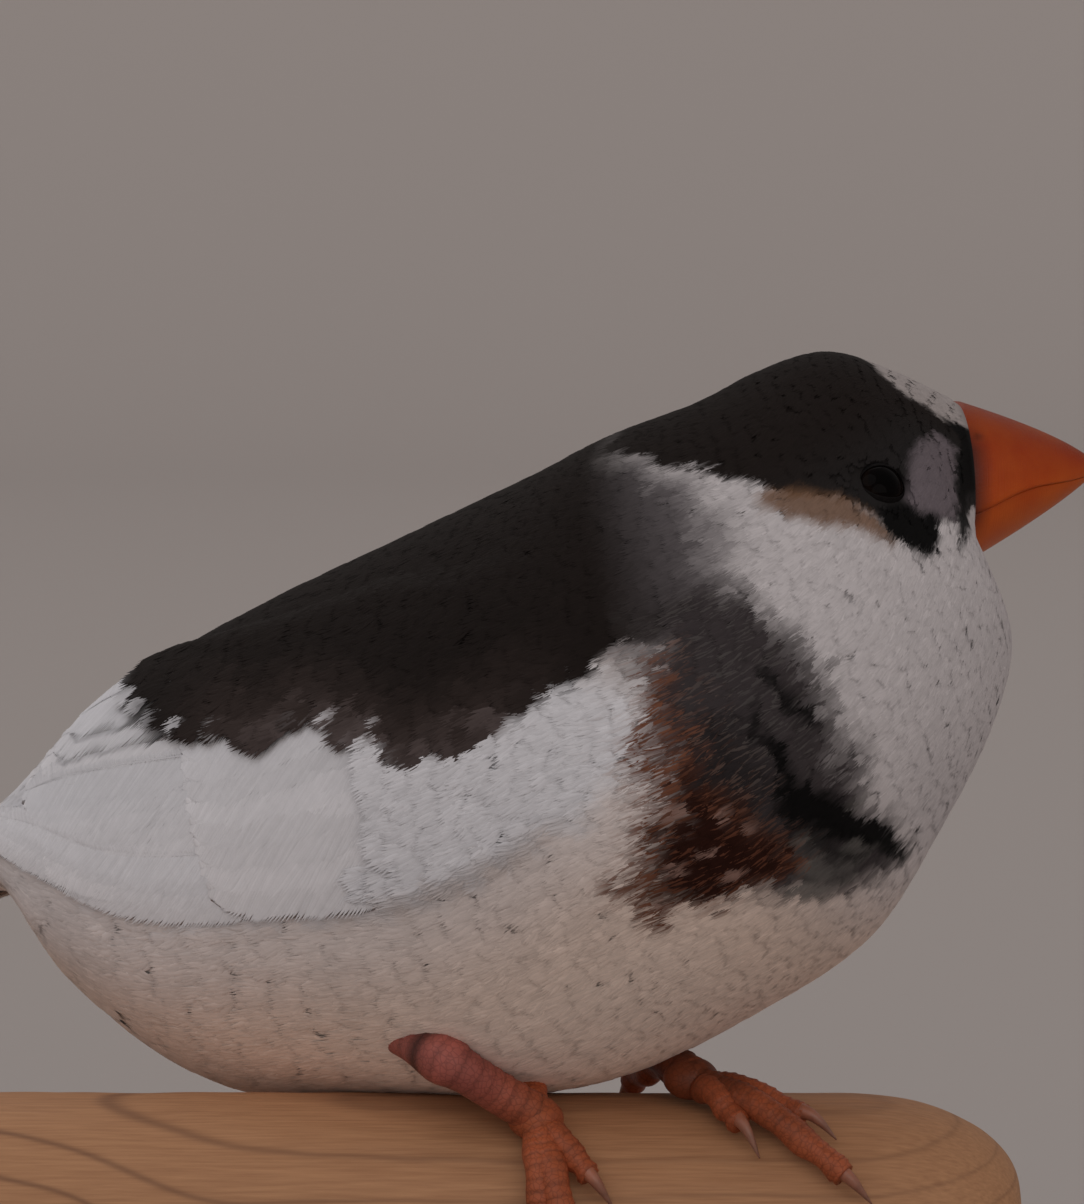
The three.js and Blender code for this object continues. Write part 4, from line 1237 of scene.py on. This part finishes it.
def hornMaterial():
    # waxy horn: orange, redder towards the top, with a painted shade round the sides of the root and faint
    # growth lines; the pieces' colour holds how far along and how high a place is, and a painted shade in a
    # nostril
    material, tree, shader = newMaterial(
        "waxyHorn", Roughness=0.4, Subsurface_Weight=0.1, Coat_Weight=0.02, Coat_Roughness=0.3,
        Specular_IOR_Level=0.2, Subsurface_Radius=(1.0, 0.35, 0.1), Subsurface_Scale=0.0008,
    )
    along, high, shade = addNode(tree, "SeparateColor", {0: painted(tree)}).outputs
    broad = noise(tree, objectPlace(tree), 420.0, 4.0)
    uv = ownMap(tree)
    lengthwise = noise(tree, stretch(tree, uv, (4.0, 90.0, 1.0)), 3.0, 3.0)
    growth = noise(tree, stretch(tree, uv, (60.0, 3.0, 1.0)), 2.0, 2.0)
    upwards = [
        (0.0, (0.56, 0.125, 0.018)), (0.45, (0.50, 0.070, 0.005)), (0.75, (0.31, 0.028, 0.003)),
        (1.0, (0.15, 0.012, 0.003)),
    ]
    clouds = [(0.3, (0.42, 0.045, 0.005)), (0.7, (0.62, 0.12, 0.012))]
    toned = blend(tree, 0.35, rampNode(tree, high, upwards), rampNode(tree, broad, clouds))
    # painted shade round the sides of the root, where the bill meets the face
    root = remap(tree, along, (0.0, 0.14), (0.9, 0.0))
    sides = [(0.12, (0, 0, 0)), (0.3, (1, 1, 1)), (0.72, (1, 1, 1)), (0.9, (0.15,) * 3)]
    shaded = combine(tree, "MULTIPLY", root, rampNode(tree, high, sides))
    shadedRoot = blend(tree, shaded, toned, (0.07, 0.013, 0.009, 1))
    feed(shader, "Base Color", multiply(tree, shadedRoot, shade))
    bump(tree, shader, combine(tree, "ADD", lengthwise, growth), 0.35, 0.00006)
    rough = remap(tree, broad, (0.3, 0.7), (0.32, 0.48))
    feed(shader, "Roughness", rough)
    return material


horn = hornMaterial()
billHalf("horn_upper", True, horn)
billHalf("horn_lower", False, horn)
print("bill made")


# Legs, toes and claws

# The bird's two legs, with places from the perch's top; a toe's heading in degrees, its length and its
# radius; tone is a painted shade, darker on the far leg that stands in shade
legs = {
    "right": {
        "hip": (-5.4, -2.4, 4.8), "heel": (-1, -8.3, 3.4), "x": 4.7, "around": 37, "tarsus": 1.35,
        "toes": {
            "middle": (76, 10.5, 1.05), "inner": (50, 5.2, 0.95), "outer": (87, 8, 0.95),
            "hind": (262, 8.5, 1.05),
        },
        "tone": 1.0,
    },
    "left": {
        "hip": (8.6, 6, 7.5), "heel": (10.8, 3, 3.4), "x": 14.4, "around": 12, "tarsus": 1.2,
        "toes": {
            "middle": (42, 12.5, 1.05), "inner": (58, 5.5, 0.95), "outer": (30, 8, 0.95),
            "hind": (245, 8.5, 1.05),
        },
        # the far leg is darkened with painted shade
        "tone": 0.42,
    },
}
plates = {"leg": 0.95, "toe": 0.62}  # length of a scute
claw = {
    "length": 2.3, "inToe": 0.8,  # how far it stands out, and how far it starts inside the toe
    "rootHeight": 1.05, "tipHeight": 0.2, "arch": 0.75,
    "radius": 0.6, "tip": 0.05,
}
heelAt = 0.25  # how far down the leg its heel is
gap = 0.3  # between the feet and the perch
limbSides = 28  # corners round a leg or a toe
clawSides = 16


def overPerch(x, degrees, height):
    # x along the perch, degrees round it from the top towards -Y, and height off its surface
    turn, reach = np.radians(degrees), perch["radius"] + height
    x, turn, reach = np.broadcast_arrays(x, turn, reach)
    return np.stack([x, -reach * np.sin(turn), perch["axis"] + reach * np.cos(turn)], -1)


def limbRings(path, radii, bulge, sides=limbSides):
    # rings square to a path of points; bulge adds to the radius at each ring and turn
    ahead = unit(np.gradient(path, axis=0))
    side = unit(np.cross(ahead, np.array([0.0, 0.0, 1.0])) + 1e-6)
    top = np.cross(side, ahead)
    turn = turns(sides)
    reach = radii[:, None] + bulge(turn)
    spoke = side[:, None] * np.cos(turn)[..., None] + top[:, None] * np.sin(turn)[..., None]
    return path[:, None] + reach[..., None] * spoke


def splinePath(points, rows):
    # an even smooth curve through points
    points = np.array(points, float)
    t = np.linspace(0, len(points) - 1, rows)
    i = np.clip(t.astype(int), 0, len(points) - 2)
    slope = np.gradient(points, axis=0)
    values = (points[i], slope[i], points[i + 1], slope[i + 1])
    return sum(weight * value for weight, value in zip(hermite((t - i)[:, None]), values))


def scutes(along, size, depth):
    # overlapping plates over the upper side: each rises slowly and drops off at its end
    saw = (along / size) % 1
    return depth * (saw**2 - smooth(saw, 0.9, 1.0) * saw**2)


def seams(along, size, dark, wide):
    # darker lines where one plate ends and the next begins
    return mix(1.0, dark, smooth(scutes(along, size, 1), 0.0, wide) < 0.5)


def legMaterial():
    # the painted skin of the legs, uneven in tone, with painted shade in fine creases between small scales
    material, tree, shader = newMaterial(
        "scalySkin", Roughness=0.5, Subsurface_Weight=0.1, Specular_IOR_Level=0.3,
        Subsurface_Radius=(1.0, 0.3, 0.15), Subsurface_Scale=0.0006,
    )
    place = objectPlace(tree)
    broad = noise(tree, place, 260.0, 4.0)
    scales = {"Vector": place, "Scale": 2600.0}
    cells = addNode(tree, "TexVoronoi", scales, feature="DISTANCE_TO_EDGE").outputs[0]
    paint = painted(tree)
    toned = multiply(tree, paint, remap(tree, broad, (0.3, 0.7), (0.75, 1.25)))
    creaseShade = remap(tree, cells, (0.0, 0.12), (0.7, 1.0))
    feed(shader, "Base Color", multiply(tree, toned, creaseShade))
    bump(tree, shader, creaseShade, 0.4, 0.00008)
    return material


def clawMaterial():
    # the painted horn of the claws, with fine streaks
    material, tree, shader = newMaterial(
        "claws", Roughness=0.35, Subsurface_Weight=0.1, Subsurface_Scale=0.0004,
    )
    paint = painted(tree)
    streak = noise(tree, objectPlace(tree), 1500.0, 3.0)
    toned = multiply(tree, paint, remap(tree, streak, (0.3, 0.7), (0.85, 1.15)))
    feed(shader, "Base Color", toned)
    bump(tree, shader, streak, 0.3, 0.00004)
    return material


legPaint = np.array([0.41, 0.10, 0.038])
# the leg above and round its heel: partly its own redder skin, partly painted shade under the belly feathers
shadedHeelPaint = np.array([0.32, 0.088, 0.068])
clawPaint = np.array([[0.40, 0.14, 0.08], [0.27, 0.13, 0.09]])  # at its root and at its tip
scaly = legMaterial()
clawHorn = clawMaterial()


def limbPiece(rings, colour):
    # a limb's points, faces, colours and unwrap
    rows, columns = rings.shape[:2]
    points, faces = tube(rings)
    colour = np.broadcast_to(colour, (rows, columns, 3)).reshape(-1, 3)
    across = np.meshgrid(np.linspace(0, 1, rows), np.linspace(0, 1, columns), indexing="ij")
    uv = np.concatenate([np.stack(across, -1).reshape(-1, 2), [[0, 0.5], [1, 0.5]]])
    return points, faces, capped(colour), uv


def makeToe(foot, heading, length, radius):
    # the toe winds over the perch, thicker at its joints and under its pads, with scutes above
    heading = math.radians(heading)

    def at(along, height):
        degrees = np.degrees(along * math.sin(heading) / (perch["radius"] + radius))
        return overPerch(foot["x"] + along * math.cos(heading), foot["around"] + degrees, height)

    t = np.linspace(0, 1, int(length * 9))
    along = t * length
    height = gap + radius + 0.15 + 0.35 * bell(t, 0.5, 0.16)
    size = radius * mix(1.08, 0.82, t) * (0.97 + 0.07 * np.cos(t * 6 * np.pi)) * np.where(t > 0.97, 0.85, 1)

    def bulge(turn):
        above = np.clip(np.sin(turn), 0, 1)[None]
        below = np.clip(-np.sin(turn), 0, 1)[None]
        pads = 0.1 * below * np.cos(t * 8 * np.pi)[:, None]
        return scutes(along, plates["toe"], 0.085)[:, None] * above**0.5 + pads - 0.06 * below

    # the leg's painted shade fades out towards the toe's tip
    tone = mix(foot["tone"], 0.95, smooth(t, 0.1, 0.6)) * seams(along, plates["toe"], 0.78, 0.12)
    digit = limbPiece(limbRings(at(along, height), size, bulge), legPaint * tone[:, None, None])

    # the claw grows out of the toe's end and arches down to a point
    s = np.linspace(0, 1, 26)
    nailAlong = length - claw["inToe"] + (claw["length"] + claw["inToe"]) * s
    nailHeight = gap + mix(claw["rootHeight"], claw["tipHeight"], s**1.6)
    nailHeight = nailHeight + claw["arch"] * np.sin(np.pi * s) * (1 - 0.4 * s)
    nailSize = mix(claw["radius"], claw["tip"], s**1.2)

    def flatter(turn):
        return -0.12 * nailSize[:, None] * np.abs(np.cos(turn))[None]

    nailPaint = mix(clawPaint[0], clawPaint[1], smooth(s, 0.1, 0.9)[:, None])[:, None]
    return digit, limbPiece(limbRings(at(nailAlong, nailHeight), nailSize, flatter, clawSides), nailPaint)


def makeLeg(hand, leg):
    # the leg runs from the belly by its heel to the ankle over the perch, with scutes in front
    ankle = overPerch(leg["x"], leg["around"], gap + 1.5)
    deeper = overPerch(leg["x"], leg["around"], gap + 1.2)
    hip, heel = (np.array([*leg[name][:2], perchTop + leg[name][2]]) for name in ("hip", "heel"))
    path = splinePath([hip, heel, mix(heel, ankle, 0.55), ankle, mix(ankle, deeper, 0.5)], 90)
    t = np.linspace(0, 1, len(path))
    knee = mix(0.85, 1.0, smooth(t, heelAt - 0.15, heelAt)) + 0.22 * bell(t, heelAt, 0.07)
    size = leg["tarsus"] * (knee + 0.1 * bell(t, 0.95, 0.1) - 0.04 * np.sin(t * np.pi))
    along = np.concatenate([[0], np.cumsum(np.linalg.norm(np.diff(path, axis=0), axis=-1))])

    def bulge(turn):
        front = np.clip(np.sin(turn), 0, 1)[None]
        return scutes(along, plates["leg"], 0.1)[:, None] * front**0.5

    # the leg above its heel takes the redder paint with its painted shade
    paint = mix(shadedHeelPaint, legPaint, smooth(t, heelAt + 0.05, 0.8)[:, None])
    # a painted shade in the fold just above the heel
    foldShade = 1 - 0.75 * bell(t, heelAt - 0.05, 0.016)
    # a painted highlight on the knuckle of the heel
    pale = 1 + 0.6 * bell(t, heelAt + 0.015, 0.03)
    # tone darkens the far leg with painted shade
    tone = leg["tone"] * seams(along, plates["leg"], 0.75, 0.1) * foldShade * pale
    points, faces, colour, uv = limbPiece(limbRings(path, size, bulge), (paint * tone[:, None])[:, None])
    newPiece("tarsus_" + hand, points, faces, scaly, ("leg_" + hand,), colour, uv)

    ball = ballRings(24, limbSides) * [1.75, 1.6, 1.35] + overPerch(leg["x"], leg["around"], gap + 1.25)
    # the foot's ball carries the leg's painted shade too
    toes = [limbPiece(ball, legPaint * leg["tone"])]
    nails = []
    for heading, length, radius in leg["toes"].values():
        digit, nail = makeToe(leg, heading, length, radius)
        toes.append(digit)
        nails.append(nail)
    pieces = (("toes_", toes, scaly, ("foot_" + hand,)), ("claws_", nails, clawHorn, ()))
    for label, parts, material, replaced in pieces:
        points, faces = joinParts(parts)
        colour, uv = (np.concatenate([part[i] for part in parts]) for i in (2, 3))
        newPiece(label + hand, points, faces, material, replaced, colour, uv)


for hand, leg in legs.items():
    makeLeg(hand, leg)
print("legs made")


# Perch and stand

pine = {"pale": (0.54, 0.275, 0.135), "deep": (0.40, 0.19, 0.09), "line": (0.13, 0.052, 0.028)}
grainSteps = 4.2  # growth rings to 2 pi millimetres of grain
knot = {"x": -18.5, "turn": 1.1 * np.pi / 2, "size": 3.2}
pith = {"y": 4.0, "z": -25.0}  # the middle of the tree's rings, under the rod


def pineMaterial():
    # fine fibres, and dark late-wood lines from the piece's own map, fainter towards the far end
    material, tree, shader = newMaterial("sawnPine", Roughness=0.72)
    uv = ownMap(tree, "grain")
    warp = noise(tree, stretch(tree, uv, (0.05, 0.3, 1.0)), 1.0, 2.0)
    fibres = noise(tree, stretch(tree, objectPlace(tree), (250.0, 5000.0, 5000.0)), 1.0, 5.0)
    across = addNode(tree, "SeparateXYZ", {0: uv}).outputs[1]
    bent = combine(tree, "MULTIPLY_ADD", warp, 1.1, across)
    wave = combine(tree, "SINE", combine(tree, "MULTIPLY", bent, grainSteps))
    lateWood = combine(tree, "POWER", combine(tree, "MULTIPLY_ADD", wave, 0.5, 0.5), 22.0)
    base = rampNode(tree, fibres, [(0.25, pine["deep"]), (0.75, pine["pale"])])
    lengthwise = addNode(tree, "SeparateXYZ", {0: uv}).outputs[0]
    fade = remap(tree, lengthwise, (-30.0, 12.0), (0.6, 0.22))
    strength = combine(tree, "MULTIPLY", lateWood, fade)
    feed(shader, "Base Color", blend(tree, strength, base, (*pine["line"], 1)))
    height = combine(tree, "MULTIPLY_ADD", lateWood, 0.6, fibres)
    bump(tree, shader, height, 0.4, 0.00012)
    return material


def makePerch():
    # a turned rod: x along it and a turn round it, its far end rounded and its near end sawn flat
    rows, cutRows = 420, 24
    straight = np.linspace(perch["left"] + perch["bevel"], perch["right"] - perch["endReach"], rows)
    bend = np.linspace(0, np.pi / 2, 40)[1:]
    endX = perch["right"] - perch["endReach"] * (1 - np.sin(bend))
    endReach = perch["endFace"] + (perch["radius"] - perch["endFace"]) * np.cos(bend)
    faceReach = np.linspace(perch["endFace"], 0.05, 12)[1:]
    cutReach = np.linspace(0.05, perch["radius"] - perch["bevel"], cutRows)
    cutX, faceX = np.full(cutRows, perch["left"]), np.full(len(faceReach), perch["right"])
    x = np.concatenate([cutX, straight, endX, faceX])[:, None]
    reach = np.concatenate([cutReach, np.full(rows, perch["radius"]), endReach, faceReach])[:, None]
    turn = turns(200)
    arc = turn[None] * perch["radius"]
    x = x + 0 * arc

    # the grain is the distance from the pith, and swings round a knot on the side that faces -Y
    dx, dy = x - knot["x"], arc - knot["turn"] * perch["radius"]
    near = np.exp(-(dx**2 + (dy * 1.3) ** 2) / (2 * (knot["size"] * 1.6) ** 2))
    grain = np.hypot(-reach * np.sin(turn) - pith["y"], reach * np.cos(turn) - pith["z"])
    grain = grain - 2.0 * near * np.tanh(dy) - 0.09 * np.clip(-x - 2, 0, None) * smooth(-x, 2, 25)

    # the round surface is a little rough, the cut faces are flat
    rough = 0.035 * np.sin(grain * grainSteps + 0.4 * np.sin(x * 0.21))
    rough = rough + 0.03 * wander(x * 0.25, arc * 3, 2.0, 31)
    row = np.arange(len(x))
    turned = (smooth(row, 20, 30) * (1 - smooth(row, rows + 20, rows + 60)))[:, None]
    reach = reach + rough * turned - 0.12 * np.exp(-(dx**2 + dy**2) / 6) * turned
    points, faces = tube(np.stack([x, -reach * np.sin(turn), perch["axis"] + reach * np.cos(turn)], -1))
    uv = capped(np.stack([x, grain], -1).reshape(-1, 2))
    newPiece("perch_wood", points, faces, pineMaterial(), ("perch",), None, uv, "grain")


makePerch()


def standMaterials():
    # dark stained wood for the base and brushed steel for the rods, both on object coordinates
    stained, tree, shader = newMaterial("stainedWood", Roughness=0.42, Coat_Weight=0.3, Coat_Roughness=0.25)
    place = objectPlace(tree)
    fibres = noise(tree, stretch(tree, place, (60.0, 900.0, 900.0)), 1.0, 5.0, 0.4)
    wide = noise(tree, stretch(tree, place, (12.0, 160.0, 160.0)), 1.0, 2.0)
    both = combine(tree, "MULTIPLY_ADD", wide, 0.6, fibres)
    browns = [(0.45, (0.020, 0.011, 0.007)), (0.8, (0.060, 0.032, 0.018)), (1.0, (0.085, 0.046, 0.026))]
    feed(shader, "Base Color", rampNode(tree, both, browns))
    bump(tree, shader, fibres, 0.15, 0.0001)
    steel, tree, shader = newMaterial("brushedSteel", Roughness=0.32, Metallic=1.0)
    rings = noise(tree, stretch(tree, objectPlace(tree), (300.0, 300.0, 9000.0)), 1.0, 3.0)
    greys = [(0.3, (0.42, 0.41, 0.40)), (0.7, (0.58, 0.57, 0.55))]
    feed(shader, "Base Color", rampNode(tree, rings, greys))
    feed(shader, "Roughness", remap(tree, rings, (0.3, 0.7), (0.25, 0.42)))
    bump(tree, shader, rings, 0.1, 0.00004)
    return stained, steel


stained, steel = standMaterials()
for nodeName, material in (("stand_base", stained), ("stand_rod_1", steel), ("stand_rod_2", steel)):
    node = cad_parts[nodeName]
    node.data.materials.clear()
    node.data.materials.append(material)
print("perch and stand made")


# Floor, light and camera

floorLook = {"colour": (0.47, 0.42, 0.40, 1), "reach": 40000, "sweepFrom": 1500, "sweep": 800, "top": 1500}


def makeFloor():
    # a wide floor that sweeps up far behind in a quarter circle
    material, _, shader = newMaterial("paleFloor", Roughness=0.9)
    shader.inputs["Base Color"].default_value = floorLook["colour"]
    reach, begin, sweep = floorLook["reach"], floorLook["sweepFrom"], floorLook["sweep"]
    bend = np.linspace(0, np.pi / 2, 24)
    y = np.concatenate([[-reach, begin], begin + sweep * np.sin(bend[1:]), [begin + sweep]])[:, None]
    z = np.concatenate([[0, 0], sweep * (1 - np.cos(bend[1:])), [floorLook["top"]]])[:, None]
    x = np.linspace(-reach, reach, 40)[None]
    points = np.stack(np.broadcast_arrays(x, y, z), -1)
    mesh = bpy.data.meshes.new("floor")
    mesh.from_pydata((points.reshape(-1, 3) * mm).tolist(), [], gridFaces(*points.shape[:2]).tolist())
    mesh.shade_smooth()
    mesh.materials.append(material)
    floor = bpy.data.objects.new("floor", mesh)
    bpy.context.scene.collection.objects.link(floor)


makeFloor()
lights = {
    "key": {"place": (-0.45, -0.6, 0.9), "power": 0.45, "angle": 50, "colour": (0.97, 0.98, 1.0)},
    "fill": {"place": (0.25, -0.95, 0.06), "power": 0.68, "angle": 60, "colour": (1.0, 0.95, 0.9)},
    "back": {"place": (-0.3, 0.8, 0.8), "power": 0.42, "angle": 60, "colour": (1.0, 0.98, 0.96)},
}
for name, light in lights.items():
    data = bpy.data.lights.new(name, "SUN")
    data.angle = math.radians(light["angle"])
    data.energy = light["power"]
    data.color = light["colour"]
    lamp = bpy.data.objects.new(name, data)
    lamp.location = light["place"]
    lamp.rotation_euler = (-lamp.location).to_track_quat("-Z", "Y").to_euler()
    bpy.context.scene.collection.objects.link(lamp)

studio = {"colour": (1.0, 0.955, 0.93, 1), "strength": 0.31}
world = bpy.data.worlds.new("studio")
world.use_nodes = True
background = world.node_tree.nodes["Background"]
background.inputs[0].default_value = studio["colour"]
background.inputs[1].default_value = studio["strength"]
bpy.context.scene.world = world
bpy.context.scene.view_settings.view_transform = "Standard"

# The photo's frame is 1084 by 1204 pixels, 16 of them to a millimetre at the target
view = {
    "target": (5.1, 0.0, 67.0), "distance": 400.0, "elevation": 4.0, "pixelsPerMm": 16.0, "longSide": 1204,
}
camera = bpy.data.cameras.new("camera")
camera.sensor_width = 36.0
camera.lens = view["pixelsPerMm"] * view["distance"] / view["longSide"] * camera.sensor_width
camera.clip_start, camera.clip_end = 0.01, 20
cameraObject = bpy.data.objects.new("camera", camera)
lean = math.radians(view["elevation"])
aim = Vector(view["target"]) * mm
cameraObject.location = aim + Vector((0, -math.cos(lean), math.sin(lean))) * view["distance"] * mm
cameraObject.rotation_euler = (aim - cameraObject.location).to_track_quat("-Z", "Y").to_euler()
bpy.context.scene.collection.objects.link(cameraObject)
bpy.context.scene.camera = cameraObject
print("stage ready")
